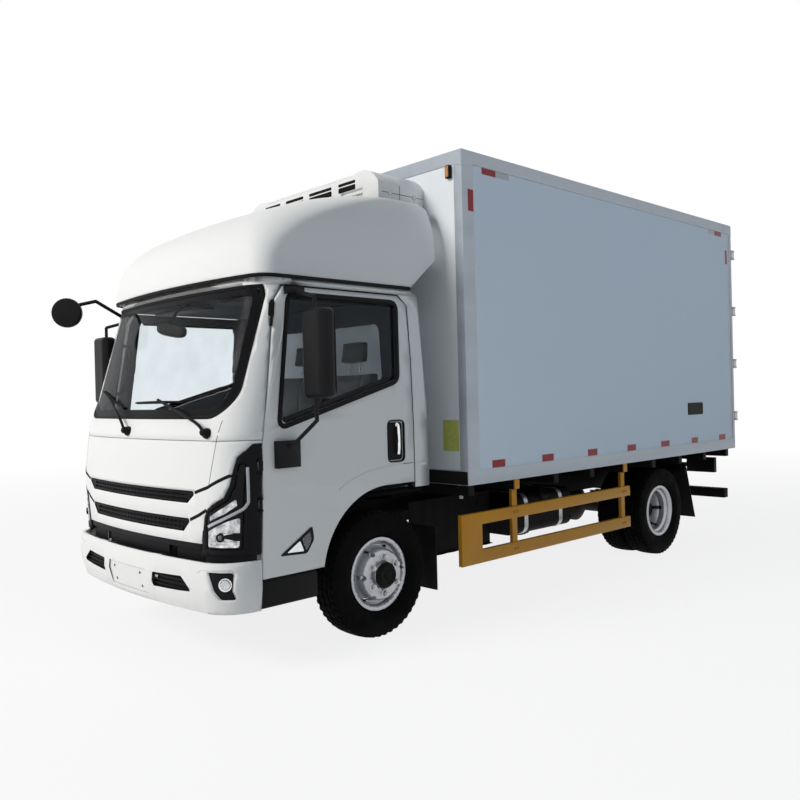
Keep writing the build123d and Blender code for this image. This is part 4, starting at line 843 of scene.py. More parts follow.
def plate(bm, skin, look, outline, thick, step=0.05, lift=0.0):
    """A sheet with a stencil's outline, bent to the skin and closed all round."""
    flat = bmesh.new()
    flat.faces.new([flat.verts.new((u, v, 0)) for u, v in outline])
    for axis in (0, 1):
        low = min(point[axis] for point in outline)
        high = max(point[axis] for point in outline)
        normal = Vector((1, 0, 0)) if axis == 0 else Vector((0, 1, 0))
        for k in range(1, math.ceil((high - low) / step)):
            bmesh.ops.bisect_plane(flat, geom=flat.verts[:] + flat.edges[:] + flat.faces[:],
                                   plane_co=normal * (low + k * step), plane_no=normal)
    upper, lower = {}, {}
    for vertex in flat.verts:
        spot, normal = lay(skin, look, vertex.co.x, vertex.co.y)
        upper[vertex] = bm.verts.new(spot + normal * (lift + thick))
        lower[vertex] = bm.verts.new(spot + normal * (lift - SINK))
    for facet in flat.faces:
        bm.faces.new([upper[v] for v in facet.verts])
        bm.faces.new([lower[v] for v in reversed(facet.verts)])
    for edge in flat.edges:
        if len(edge.link_faces) == 1:
            a, b = edge.verts
            bm.faces.new((upper[a], upper[b], lower[b], lower[a]))
    flat.free()


def soften(piece, width):
    """Small rounds on a piece's sharp edges."""
    rounds = piece.modifiers.new("round_edge", "BEVEL")
    rounds.width, rounds.segments = width, 2
    rounds.limit_method, rounds.angle_limit = "ANGLE", math.radians(40)
    return piece


def tube(bm, points, radius, sides=12, steps=6):
    """A round bar through points, bent smoothly, with closed ends."""
    path = []
    for i in range(len(points) - 1):
        p = [points[max(0, min(len(points) - 1, i + k))] for k in (-1, 0, 1, 2)]
        for s in range(steps):
            t = s / steps
            path.append(0.5 * (2 * p[1] + (p[2] - p[0]) * t
                               + (2 * p[0] - 5 * p[1] + 4 * p[2] - p[3]) * t * t
                               + (3 * p[1] - p[0] - 3 * p[2] + p[3]) * t ** 3))
    path.append(points[-1])
    across, loops = (path[1] - path[0]).orthogonal().normalized(), []
    for k, spot in enumerate(path):
        along = (path[min(k + 1, len(path) - 1)] - path[max(k - 1, 0)]).normalized()
        across = (across - along * across.dot(along)).normalized()
        third = along.cross(across)
        size = radius[k] if isinstance(radius, list) else radius
        loops.append([bm.verts.new(spot + size * (math.cos(a) * across + math.sin(a) * third))
                      for a in (2 * math.pi * j / sides for j in range(sides))])
    for here, there in zip(loops, loops[1:]):
        for j in range(sides):
            n = (j + 1) % sides
            bm.faces.new((here[j], here[n], there[n], there[j]))
    bm.faces.new(list(reversed(loops[0])))
    bm.faces.new(loops[-1])


def loft_rings(bm, rings):
    """Join rings of points that have the same count, and close both ends."""
    loops = [[bm.verts.new(point) for point in ring] for ring in rings]
    count = len(loops[0])
    for here, there in zip(loops, loops[1:]):
        for k in range(count):
            n = (k + 1) % count
            bm.faces.new((here[k], here[n], there[n], there[k]))
    bm.faces.new(list(reversed(loops[0])))
    bm.faces.new(loops[-1])


CAB_SKIN = skin_of("cab_front", "front_panel", "cab_glass", "grille", "headlamps",
                   "headlamp_surrounds", "cab_roof")
print("trim helpers ready")

# %% [markdown]
# The windscreen is bonded glass with a black ceramic border, and a rubber lip covers its edge.
# The door glass runs in a rubber channel and has the same border. A rubber is a strip laid on
# the panel just outside the opening's outline, a border one laid on the glass just inside it,
# and the foot of the roof fairing gets a black lip too.

# %% Window rubbers and fairing lip
SCREEN_HALF, SCREEN_LOW, SCREEN_TOP, SCREEN_CORNER = 0.884, 1.368, 2.104, 0.175
RUBBER_OUT, BORDER_IN, BORDER_THICK = 0.012, 0.016, 0.0006


def screen_outline(inset):
    """The windscreen's opening drawn in by inset: wide lower corners, an upper edge at the roof."""
    half, corner = SCREEN_HALF - inset, SCREEN_CORNER - 0.6 * inset
    low, top = SCREEN_LOW + inset, SCREEN_TOP - inset
    right_corner = [(half - corner + corner * math.sin(a), low + corner - corner * math.cos(a))
                    for a in (math.radians(9 * k) for k in range(11))]
    upper = [(half, 1.80), (half - 0.004, 2.02), (half - 0.022, top - 0.018), (half - 0.045, top)]
    right_side = right_corner + upper
    return right_side + [(-x, z) for x, z in reversed(right_side)]


SCREEN, FRIT = screen_outline(0.006), screen_outline(0.032)
GLASS_SKIN = skin_of("cab_glass")
FRIT_BLACK = finish("ceramic_border", ((0.003, 0.003, 0.004), (0.006, 0.006, 0.008)), (0.35, 0.45),
                    300.0, 0.02, Specular_IOR_Level=0.08)
bm = bmesh.new()
strip(bm, GLASS_SKIN, "front", FRIT, 0.050, BORDER_THICK, True)
make("windscreen_border", bm, "cab", "tinted_glass", FRIT_BLACK)
bm = bmesh.new()
strip(bm, CAB_SKIN, "front", SCREEN, 0.026, 0.006, True)
make("windscreen_rubber", bm, "cab", "black_plastic", RUBBER)
DOOR_WINDOW = eased([(-0.716, 1.322), (0.172, 1.572), (0.186, 2.042), (-0.620, 2.042)], 0.04)
for side, _ in SIDES:
    bm = bmesh.new()
    strip(bm, skin_of("door_" + side), side, grown(DOOR_WINDOW, RUBBER_OUT), 0.030, 0.004, True)
    make("door_window_rubber_" + side, bm, "cab_door_" + side, "black_plastic", RUBBER)
    bm = bmesh.new()
    strip(bm, skin_of("door_glass_" + side), side, grown(DOOR_WINDOW, -BORDER_IN), 0.040,
          BORDER_THICK, True)
    make("door_window_border_" + side, bm, "cab_door_" + side, "tinted_glass", FRIT_BLACK)
FAIRING_SKIN = skin_of("roof_fairing")
bm = bmesh.new()
LIP_Z, LIP_TURN, LIP_DROP = 2.157, 122, 0.006


def round_cab(skin, turn, z):
    """Where a level ray from outside towards the cab's middle lands, turn being 0 ahead."""
    out = Vector((math.sin(math.radians(turn)), -math.cos(math.radians(turn)), 0))
    spot, normal, _, _ = skin.ray_cast(at(0, -0.25, z) + 3.0 * out, -out)
    return spot, (normal if normal.dot(out) > 0 else -normal)


lip = [round_cab(FAIRING_SKIN, turn, LIP_Z) for turn in range(-LIP_TURN, LIP_TURN + 1, 2)]
bead(bm, [(spot - Vector((0, 0, LIP_DROP)), normal) for spot, normal in lip], 0.022, 0.006)
make("fairing_lip", bm, "cab", "black_plastic", RUBBER)
print("rubbers round three windows and the fairing")

# %% [markdown]
# The black lamp corner holds an L-shaped light bar, a small upper reflector and a large lower
# bowl with a shielded bulb. The reflectors' patches of dark and bright are painted reflections of
# their facets, and a dark wedge beside the bulb is a painted dark reflection. Behind a clear cover
# these are separate mouldings, so they are laid on the dark lamp housing one by one. Points round
# the corner are given in space and moved to the nearest spot of the housing, because a stencil
# from the front would smear there. Below, the bumper carries a small round fog lamp.

# %% Headlamps
LAMP_HOUSING = finish("lamp_housing_black", ((0.005, 0.005, 0.006), (0.009, 0.009, 0.011)), (0.14, 0.22),
                      300.0, 0.02, Specular_IOR_Level=0.12)
LIGHT_BAR = finish("light_bar_grey", ((0.40, 0.42, 0.44), (0.48, 0.50, 0.52)), (0.12, 0.22), 240.0, 0.05,
                   Coat_Weight=0.6, Coat_Roughness=0.04)
# Far apart dark and bright tones in coarse patches: painted reflections of the bowl's facets.
BOWL_PAINTED_REFLECTIONS = finish("reflector_painted_facet_reflections", ((0.30, 0.31, 0.33), (0.88, 0.89, 0.90)), (0.08, 0.2),
                   60.0, 0.6, 28.0, Metallic=1.0)
NODES["headlamps"].data.materials[0] = LAMP_HOUSING
NODES["fog_lamps"].data.materials[0] = LAMP_HOUSING
LAMP_SKIN, FOG_SKIN = skin_of("headlamps", "headlamp_surrounds"), skin_of("fog_lamps")
BAR_PATH = ((0.941, -0.930, 1.112), (0.943, -0.930, 1.017), (0.943, -0.930, 0.925),
            (0.932, -0.953, 0.893), (0.872, -1.026, 0.848), (0.768, -1.071, 0.797))
LAMP_BOWL = [(0.760, 0.688), (0.912, 0.688), (0.920, 0.846), (0.872, 0.826), (0.768, 0.772)]
LAMP_UPPER = [(0.784, 0.850), (0.868, 0.905), (0.912, 0.944), (0.914, 0.910), (0.868, 0.868),
              (0.784, 0.828)]
WEDGE_PAINTED_DARK_REFLECTION = [(0.917, 0.722), (0.917, 0.768), (0.862, 0.757), (0.853, 0.742)]
BULB_SHIELD, FOG_LAMP = (0.842, 0.742), (0.888, 0.500)
BULB_RING = ((0.0, 0.024), (0.010, 0.023), (0.012, 0.020), (0.008, 0.016), (0.006, 0.015))
FOG_RING = ((0.0, 0.036), (0.008, 0.035), (0.010, 0.031), (0.006, 0.027), (0.005, 0.026))


def near(skin, x, y, z):
    """The spot of a skin nearest to a point, and the way out there."""
    point = at(x, y, z)
    spot, normal, _, _ = skin.find_nearest(point)
    return spot, (normal if normal.dot(point - CAB_HEART) > 0 else -normal)


def along(points, count):
    """Even points on a bent line through a few given ones."""
    legs = [Vector(b) - Vector(a) for a, b in zip(points, points[1:])]
    total = sum(leg.length for leg in legs)
    spots = []
    for k in range(count):
        left = total * k / (count - 1)
        for start, leg in zip(points, legs):
            if left <= leg.length + 1e-9:
                break
            left -= leg.length
        spots.append(Vector(start) + leg * min(1.0, left / leg.length))
    return spots


def dome(rise, radius, turns):
    """The (height, radius) steps of a bulging lens."""
    return [(rise * math.sin(a), radius * math.cos(a)) for a in turns]


for side, sign in SIDES:
    bar = bmesh.new()
    bead(bar, [near(LAMP_SKIN, sign * x, y, z) for x, y, z in along(BAR_PATH, 40)], 0.017, 0.004)
    make("light_bar_" + side, bar, "cab", "lamp_clear", LIGHT_BAR)
    bowl = bmesh.new()
    plate(bowl, LAMP_SKIN, "front", mirrored(eased(LAMP_BOWL, 0.012), sign), 0.002, 0.02)
    plate(bowl, LAMP_SKIN, "front", mirrored(eased(LAMP_UPPER, 0.006), sign), 0.002, 0.02)
    for z in (0.705, 0.722, 0.752, 0.770):
        strip(bowl, LAMP_SKIN, "front", mirrored([(0.772, z), (0.905, z)], sign), 0.007, 0.005)
    make("lamp_reflectors_" + side, bowl, "cab", "lamp_clear", BOWL_PAINTED_REFLECTIONS)
    spot, normal = lay(LAMP_SKIN, "front", sign * BULB_SHIELD[0], BULB_SHIELD[1])
    ring = bmesh.new()
    turned(ring, spot, normal, BULB_RING, 40)
    # The wedge beside the bulb is a painted dark reflection in the bowl.
    plate(ring, LAMP_SKIN, "front", mirrored(eased(WEDGE_PAINTED_DARK_REFLECTION, 0.008), sign), 0.007, 0.02)
    make("bulb_shield_" + side, ring, "cab", "black_plastic", LAMP_HOUSING)
    eye = bmesh.new()
    turned(eye, spot + normal * 0.004, normal,
           dome(0.008, 0.0155, (0.0, 0.3, 0.6, 0.9, 1.2, 1.45)), 40)
    make("bulb_lens_" + side, eye, "cab", "lamp_clear")
    spot, normal = lay(FOG_SKIN, "front", sign * FOG_LAMP[0], FOG_LAMP[1])
    fog = bmesh.new()
    turned(fog, spot, normal, FOG_RING, 36)
    make("fog_ring_" + side, fog, "chassis", "wheel_silver", CHROME)
    fog = bmesh.new()
    turned(fog, spot + normal * 0.004, normal,
           dome(0.007, 0.0265, (0.0, 0.4, 0.8, 1.15, 1.45)), 36)
    make("fog_lens_" + side, fog, "chassis", "lamp_clear")
print("headlamps and fog lamps on both corners")

# %% [markdown]
# The two black slots of the front hold slim blades with short fins behind them, and a groove
# runs from each slot into the lamp corner, drawn as a raised dark strip that paints its shade.
# Fine seams mark where pressings meet: a painted line would vanish from the side, so each is a
# shallow strip.

# %% Grille and seams
# for each slot: Z and half width of its upper edge, then of its lower edge
SLOT_ROWS = ((0.982, 0.690, 0.914, 0.604), (0.831, 0.634, 0.757, 0.558))
BLADE_SHARES, SLOT_MARGIN, FINS = (0.16, 0.5, 0.84), 0.02, 26
grille = bmesh.new()
fins = bmesh.new()
GRILLE_SKIN = skin_of("grille")
for top_z, top_half, low_z, low_half in SLOT_ROWS:
    for share in BLADE_SHARES:
        z = low_z + share * (top_z - low_z)
        half = low_half + share * (top_half - low_half) - SLOT_MARGIN
        strip(grille, GRILLE_SKIN, "front", [(-half, z), (half, z)], 0.011, 0.005)
    for k in range(FINS + 1):
        x = (2 * k / FINS - 1) * (low_half - SLOT_MARGIN)
        strip(fins, GRILLE_SKIN, "front", [(x, low_z + 0.006), (x + 0.014, top_z - 0.006)], 0.006,
              0.003)
make("grille_blades", grille, "cab", "black_plastic")
make("grille_fins", fins, "cab", "black_plastic")
# Near-black finish: painted shade in grooves, holes and slots, and the dark of seams.
SEAM_DARK_AND_PAINTED_SHADE = finish("seam_shadow", ((0.006, 0.006, 0.007), (0.011, 0.011, 0.011)), (0.5, 0.7), 300.0, 0.1,
                   Specular_IOR_Level=0.1)
GROOVES = ([(0.672, 0.974), (0.780, 1.008), (0.926, 1.088)],
           [(0.620, 0.824), (0.700, 0.855), (0.776, 0.893)])
SIDE_SEAM = [(0.828, 1.362), (0.818, 1.276), (0.800, 1.130), (0.787, 1.020)]
for side, sign in SIDES:
    groove = bmesh.new()
    for path in GROOVES:
        strip(groove, CAB_SKIN, "front", mirrored(path, sign), 0.019, 0.0012, step=0.006)
    strip(groove, CAB_SKIN, "front", mirrored(SIDE_SEAM, sign), 0.0035, 0.0006)
    make("front_seams_" + side, groove, "cab", "black_plastic", SEAM_DARK_AND_PAINTED_SHADE)
print("grille and seams on the front")

# %% [markdown]
# The bumper's openings would show the frame behind, so a dark sheet closes them as painted
# shade, with three thin bars in front. Both follow the bumper's bow, which is an arc of known
# radius, so a helper gives the point at any depth behind its face. Four screw holes, each a low
# dark disc that paints the shade in a hole, and two pressed creases finish it.

# %% Bumper
BUMPER_BOW, BUMPER_Y = 4.95, -1.185
BACKING_START, BACKING_RUN, BACKING_STEPS = 0.298, 0.412, 12
BAR_START, BAR_STEPS, BARS = 0.306, 6, ((0.452, 0.678), (0.476, 0.650), (0.500, 0.620))
BACKING = ((0.027, 0.418), (0.027, 0.534), (0.034, 0.534), (0.034, 0.418))
CREASE = [(0.728, 0.556), (0.756, 0.574), (0.915, 0.582), (0.928, 0.566)]
SCREW_HEAD = ((0.0, 0.008), (0.0015, 0.0078), (0.002, 0.006))


def behind_bumper(x, depth, z):
    """A point a given depth behind the bumper's bowed face."""
    return at(x, BUMPER_Y + BUMPER_BOW - math.sqrt(BUMPER_BOW ** 2 - x * x) + depth, z)


for side, sign in SIDES:
    backing = bmesh.new()
    rings = []
    for k in range(BACKING_STEPS + 1):
        x = BACKING_START + BACKING_RUN * k / BACKING_STEPS
        rings.append([behind_bumper(sign * x, depth, z) for depth, z in BACKING])
    loft_rings(backing, rings)
    # The backing is black as painted shade behind the openings.
    make("bumper_shade_backing_" + side, backing, "chassis", "black_plastic")
    bars = bmesh.new()
    for z, far in BARS:
        xs = [BAR_START + (far - BAR_START) * k / BAR_STEPS for k in range(BAR_STEPS + 1)]
        tube(bars, [behind_bumper(sign * x, 0.018, z) for x in xs], 0.0045, 8, 2)
    make("bumper_bars_" + side, bars, "chassis", "black_plastic")
BUMPER_SKIN = skin_of("front_bumper")
screws = bmesh.new()
for x in (-0.165, 0.165):
    for z in (0.405, 0.485):
        spot, normal = lay(BUMPER_SKIN, "front", x, z)
        turned(screws, spot, normal, SCREW_HEAD, 16)
# The screw holes are low dark discs: painted shade inside each hole.
make("plate_screw_hole_shade", screws, "chassis", "black_plastic", SEAM_DARK_AND_PAINTED_SHADE)
creases = bmesh.new()
for _, sign in SIDES:
    strip(creases, BUMPER_SKIN, "front", mirrored(CREASE, sign), 0.010, 0.003)
make("bumper_creases", creases, "chassis", "cab_paint")
print("bumper backed, barred and creased")

# %% [markdown]
# A wiper is an arm on a splined stub, a sprung hinge, and a blade of rubber under a thin bow.
# The arm and the bow are bars swept through a few points lifted off the glass, and the rubber
# is a narrow strip that stands on it.

# %% Wipers
# pivot, elbow, and where the arm meets the blade; then the blade's two ends, all as (X, Z)
WIPERS = (((-0.081, 1.296), (-0.155, 1.360), (-0.470, 1.496), (-0.700, 1.548), (-0.240, 1.434)),
          ((0.742, 1.292), (0.660, 1.346), (0.230, 1.472), (-0.066, 1.462), (0.470, 1.462)))
WIPER_STUB = ((0.0, 0.030), (0.014, 0.028), (0.018, 0.022), (0.036, 0.020), (0.044, 0.013))
BOW_STEPS, RUBBER_STEPS, BOW_LOW, BOW_RISE = 8, 20, 0.012, 0.014


def lifted(point, rise):
    """A stencil point laid on the front of the cab and raised off it."""
    spot, normal = lay(CAB_SKIN, "front", *point)
    return spot + normal * rise


for name, (pivot, elbow, joint, blade_a, blade_b) in zip(("right", "left"), WIPERS):
    arm = bmesh.new()
    stub, out = lay(CAB_SKIN, "front", *pivot)
    turned(arm, stub, out, WIPER_STUB, 24)
    tube(arm, [lifted(pivot, 0.030), lifted(elbow, 0.040), lifted(joint, 0.030)], 0.0085, 10)
    spring_end = [0.6 * a + 0.4 * b for a, b in zip(elbow, joint)]
    tube(arm, [lifted(elbow, 0.046), lifted(spring_end, 0.040)], 0.006, 10)
    tip, heel = Vector(blade_a), Vector(blade_b)
    bow = [lifted(tip.lerp(heel, k / BOW_STEPS), BOW_LOW + BOW_RISE * math.sin(math.pi * k / BOW_STEPS))
           for k in range(BOW_STEPS + 1)]
    tube(arm, bow, 0.0055, 8, 3)
    wiping = [tuple(tip.lerp(heel, k / RUBBER_STEPS)) for k in range(RUBBER_STEPS + 1)]
    strip(arm, CAB_SKIN, "front", wiping, 0.009, 0.013)
    make("wiper_" + name, arm, "cab", "black_plastic")
print("two wipers")

# %% [markdown]
# Door furniture: the handle is a bright lever in a dark cup with a key plate beside it, the
# corner lamp is a dark bezel that comes to a point in front, with a clear and a bright part,
# and a soft crease is pressed in above the wheel arch.

# %% Door furniture


def oblong(u0, u1, v0, v1):
    return [(u0, v0), (u1, v0), (u1, v1), (u0, v1)]


def part_way(first, second, share):
    """The stencil point at a share of the way between two others."""
    return tuple(Vector(first).lerp(Vector(second), share))


SIDE_LAMP = [(-0.742, 0.610), (-0.519, 0.748), (-0.508, 0.672), (-0.559, 0.600)]
LAMP_CENTRE, LAMP_INNER_SHARE = Vector((-0.585, 0.655)), 0.72
HANDLE_CUP = eased(oblong(0.088, 0.208, 1.073, 1.307), 0.028)
CUP_RIM = eased(oblong(0.078, 0.218, 1.063, 1.317), 0.034)
KEY_PLATE = eased(oblong(0.205, 0.287, 1.030, 1.047), 0.006)
# how far the lever stands off the door, and its Z from the middle
LEVER_PATH = ((0.006, 0.104), (0.016, 0.092), (0.020, 0.05), (0.021, 0.0), (0.020, -0.05),
              (0.015, -0.082))
ARCH_CREASE = [(-0.315, 0.928), (-0.220, 0.976), (-0.105, 1.012), (0.020, 1.029), (0.171, 1.036),
               (0.296, 1.036)]
for side, _ in SIDES:
    door_skin, door = skin_of("door_" + side), "cab_door_" + side
    cup = bmesh.new()
    plate(cup, door_skin, side, HANDLE_CUP, 0.002, 0.06)
    strip(cup, door_skin, side, CUP_RIM, 0.010, 0.003, True)
    plate(cup, door_skin, side, KEY_PLATE, 0.002)
    make("handle_cup_" + side, cup, door, "black_plastic")
    lever = bmesh.new()
    base, out = lay(door_skin, side, 0.165, 1.19)
    tube(lever, [base + out * rise + Vector((0, 0, z)) for rise, z in LEVER_PATH], 0.010, 12)
    turned(lever, base + Vector((0, 0, 0.100)), out,
           ((0.0, 0.016), (0.010, 0.015), (0.013, 0.010)), 20)
    make("handle_lever_" + side, lever, door, "bare_steel", CHROME)
    bezel = bmesh.new()
    plate(bezel, door_skin, side, eased(SIDE_LAMP, 0.016), 0.006, 0.04)
    soften(make("corner_lamp_bezel_" + side, bezel, door, "black_plastic", LAMP_HOUSING), 0.002)
    clear = bmesh.new()
    inner = [tuple(LAMP_CENTRE + LAMP_INNER_SHARE * (Vector(corner) - LAMP_CENTRE))
             for corner in SIDE_LAMP]
    front_half = [inner[0], part_way(inner[0], inner[1], 0.55), part_way(inner[3], inner[0], 0.12)]
    rear_half = [part_way(inner[0], inner[1], 0.64), *inner[1:]]
    plate(clear, door_skin, side, eased(rear_half, 0.010), 0.009, 0.04)
    soften(make("corner_lamp_clear_" + side, clear, door, "lamp_clear"), 0.0015)
    bright = bmesh.new()
    plate(bright, door_skin, side, eased(front_half, 0.008), 0.009, 0.04)
    soften(make("corner_lamp_side_" + side, bright, door, "lamp_clear", CHROME), 0.0015)
    crease = bmesh.new()
    strip(crease, door_skin, side, ARCH_CREASE, 0.016, 0.003)
    make("arch_crease_" + side, crease, door, "cab_paint")
    crease = bmesh.new()
    strip(crease, skin_of("cab_back"), side, [(0.312, 1.036), (0.405, 1.034)], 0.016, 0.003)
    make("arch_crease_back_" + side, crease, "cab", "cab_paint")
print("handles, corner lamps and creases on both doors")

# %% [markdown]
# A mirror head is a black shell with silvered glass behind. Each door mirror has two panes, the
# lower one for the wheel, in one raised rim, and the round mirror at the roof's front corner has
# a slightly bulging one. The panes are thin sheets over the solid, so the shell stays as it is.

# %% Mirror panes
PANE_X, PANE_Z = (1.098, 1.258), ((1.620, 1.915), (1.505, 1.605))
PANE_RIM = eased(oblong(1.092, 1.264, 1.490, 1.925), 0.034)
PANE_BAR = [(1.100, 1.6125), (1.256, 1.6125)]
for side, sign in SIDES:
    head_skin, door = skin_of("mirror_" + side), "cab_door_" + side
    panes = bmesh.new()
    for low, high in PANE_Z:
        pane = eased(oblong(*PANE_X, low, high), 0.026)
        plate(panes, head_skin, "rear", mirrored(pane, sign), 0.003, 0.06)
    make("mirror_panes_" + side, panes, door, "mirror_black", MIRROR_GLASS)
    rim = bmesh.new()
    strip(rim, head_skin, "rear", mirrored(PANE_RIM, sign), 0.012, 0.007, True)
    strip(rim, head_skin, "rear", mirrored(PANE_BAR, sign), 0.010, 0.006)
    make("mirror_rim_" + side, rim, door, "mirror_black")
FRONT_MIRROR, FRONT_MIRROR_OUT = at(-0.955, -1.108, 2.090), Vector((-0.788, 0.616, 0.0))
bm = bmesh.new()
turned(bm, FRONT_MIRROR + 0.0235 * FRONT_MIRROR_OUT, FRONT_MIRROR_OUT,
       ((0.0, 0.086), (0.002, 0.085), (0.005, 0.068), (0.007, 0.034)), 48)
make("front_mirror_pane", bm, "cab", "mirror_black", MIRROR_GLASS)
print("panes in", len(SIDES), "door mirrors and the front mirror")

# %% [markdown]
# The box is plain panels in an aluminium frame, so what makes it real is small: red and white
# reflecting tape along the edges, rivets in the rails and cast corner caps. All of them are
# stencils laid on the panels. The tape's tiny glass cells are a Voronoi pattern in its bump.

# %% Tapes, rivets and corner caps


def reflecting(name, tone):
    made = Shading(name)
    cells = made.nodes.new("ShaderNodeTexVoronoi")
    cells.inputs["Scale"].default_value = 260.0
    made.links.new(made.place, cells.inputs["Vector"])
    shade = made.ranged(cells.outputs["Distance"], 0.0, 0.6, 0.0, 1.0)
    made.links.new(made.blend(shade, tone, tuple(0.75 * t for t in tone)), made.shader.inputs["Base Color"])
    made.links.new(made.ranged(made.noise(30.0), 0.3, 0.7, 0.25, 0.4), made.shader.inputs["Roughness"])
    made.bump(cells.outputs["Distance"], 0.25, 0.001)
    made.set(Specular_IOR_Level=0.3)
    return made.material


RED_TAPE = reflecting("red_reflecting_tape", (0.40, 0.012, 0.022))
WHITE_TAPE = reflecting("white_reflecting_tape", (0.70, 0.72, 0.74))
NOTICE = finish("blank_notice", ((0.50, 0.52, 0.10), (0.58, 0.60, 0.16)), (0.4, 0.5), 200.0, 0.03, 40.0)
PALE_PIPE = finish("pale_drain_pipe", ((0.70, 0.71, 0.70), (0.78, 0.78, 0.77)), (0.35, 0.5), 300.0, 0.04)
TAPE_THICK = 0.0008


# along the foot of the wall, from the front
FOOT_TAPES = ((0.895, 1.032), (1.454, 1.593), (2.04, 2.17), (2.618, 2.749), (3.172, 3.318),
              (3.732, 3.853), (4.29, 4.424))
FOOT_TAPE_Z, HEAD_TAPE_Z = (0.970, 1.021), (2.935, 2.977)
TALL_TAPES = ((0.706, 0.760, 2.67, 2.813), (4.502, 4.542, 2.68, 2.815))
HEAD_TAPES = ((0.855, 1.0, RED_TAPE), (1.0, 1.14, WHITE_TAPE),
              (4.284, 4.425, RED_TAPE), (4.144, 4.284, WHITE_TAPE))
RIVET_STEP, RIVET_R = 0.16, 0.0055
FRONT_CAP = [(0.652, 2.960), (0.740, 2.960), (0.765, 2.985), (0.830, 2.985), (0.830, 3.064),
             (0.652, 3.064)]
NOSE_CAP = [(1.036, 2.972), (1.098, 2.960), (1.098, 3.064), (0.955, 3.064), (0.955, 2.985)]
REAR_CAP = [(4.545, 2.960), (4.632, 2.960), (4.632, 3.064), (4.470, 3.064), (4.470, 2.985),
            (4.530, 2.985)]
CAP_ROUND, CAP_THICK, WALL_STEP = 0.012, 0.002, 0.3


def rivet(bm, skin, look, u, v, radius=RIVET_R):
    """A low round head laid on a skin."""
    spot, normal = lay(skin, look, u, v)
    turned(bm, spot - normal * SINK, normal,
           ((0.0, radius), (SINK + 0.0006, radius), (SINK + 0.0022, 0.7 * radius),
            (SINK + 0.0028, 0.25 * radius)), 10)


def spaced(first, last, step):
    """Even places from first to last, about step apart."""
    count = max(1, round((last - first) / step))
    return [first + (last - first) * k / count for k in range(count + 1)]


for side, sign in SIDES:
    wall = skin_of("box_wall_" + side, "box_edge_rails", "box_rear_frame", "box_roof", "box_floor",
                   "box_wall_front")
    red, pale = bmesh.new(), bmesh.new()
    for y0, y1 in FOOT_TAPES:
        plate(red, wall, side, oblong(y0, y1, *FOOT_TAPE_Z), TAPE_THICK, WALL_STEP)
    for y0, y1, tape in HEAD_TAPES:
        plate(red if tape is RED_TAPE else pale, wall, side, oblong(y0, y1, *HEAD_TAPE_Z),
              TAPE_THICK, WALL_STEP)
    for spans in TALL_TAPES:
        plate(red, wall, side, oblong(*spans), TAPE_THICK, WALL_STEP)
    make("red_tape_" + side, red, "chassis", "box_panel", RED_TAPE)
    make("white_tape_" + side, pale, "chassis", "box_panel", WHITE_TAPE)
    rivets = bmesh.new()
    for y in spaced(0.83, 4.55, RIVET_STEP):
        rivet(rivets, wall, side, y, 0.920)
        rivet(rivets, wall, side, y, 3.023)
    for z in spaced(1.06, 2.60, RIVET_STEP):
        rivet(rivets, wall, side, 0.735, z)
        rivet(rivets, wall, "front", sign * 1.062, z)
    make("rail_rivets_" + side, rivets, "chassis", "edge_alloy", FINISH["bare_steel"])
    caps = bmesh.new()
    for look, cap in ((side, FRONT_CAP), ("front", mirrored(NOSE_CAP, sign)), (side, REAR_CAP)):
        plate(caps, wall, look, eased(cap, CAP_ROUND), CAP_THICK, 0.2)
    soften(make("corner_caps_" + side, caps, "chassis", "edge_alloy"), 0.0008)
print("tapes, rivets and corner caps on both walls")

# %% [markdown]
# A few fittings stand alone: a louvred vent low on the left wall, a blank notice and a rubber
# foot strip on the front wall, and two short drain pipes under its corners. Sheets and beads make
# the first three, and a bent bar with a turned collar makes a pipe.

# %% Vent, notice, foot strip and drains
left_wall = skin_of("box_wall_left")
vent = bmesh.new()
plate(vent, left_wall, "left", eased(oblong(3.670, 3.960, 1.230, 1.340), 0.010), 0.002, WALL_STEP)
strip(vent, left_wall, "left", eased(oblong(3.676, 3.954, 1.236, 1.334), 0.012), 0.010, 0.005, True)
for k in range(5):
    z = 1.253 + 0.016 * k
    strip(vent, left_wall, "left", [(3.690, z), (3.940, z)], 0.009, 0.0045, step=WALL_STEP)
make("wall_vent", vent, "chassis", "black_plastic")
front_wall = skin_of("box_wall_front", "box_edge_rails")
notice = bmesh.new()
plate(notice, front_wall, "front", eased(oblong(0.880, 1.022, 1.095, 1.300), 0.006), 0.001, WALL_STEP)
make("wall_notice", notice, "chassis", "box_panel", NOTICE)
foot = bmesh.new()
plate(foot, front_wall, "front", oblong(-1.092, 1.092, 0.8745, 0.962), 0.002, 0.4)
make("box_foot_strip", foot, "chassis", "flap_rubber")
drain = bmesh.new()
DRAIN_PATH = ((1.0, 0.685, 0.890), (1.0, 0.685, 0.850), (1.0, 0.685, 0.812), (1.004, 0.678, 0.780))
DRAIN_COLLAR = ((0.0, 0.021), (0.012, 0.021), (0.015, 0.016))
for _, sign in SIDES:
    tube(drain, [at(sign * x, y, z) for x, y, z in DRAIN_PATH], 0.013, 14)
    turned(drain, at(sign * 1.0, 0.685, 0.8815), (0, 0, -1), DRAIN_COLLAR, 24)
make("drain_pipes", drain, "chassis", "black_plastic", PALE_PIPE)
print("vent, notice, foot strip and drains on the box")
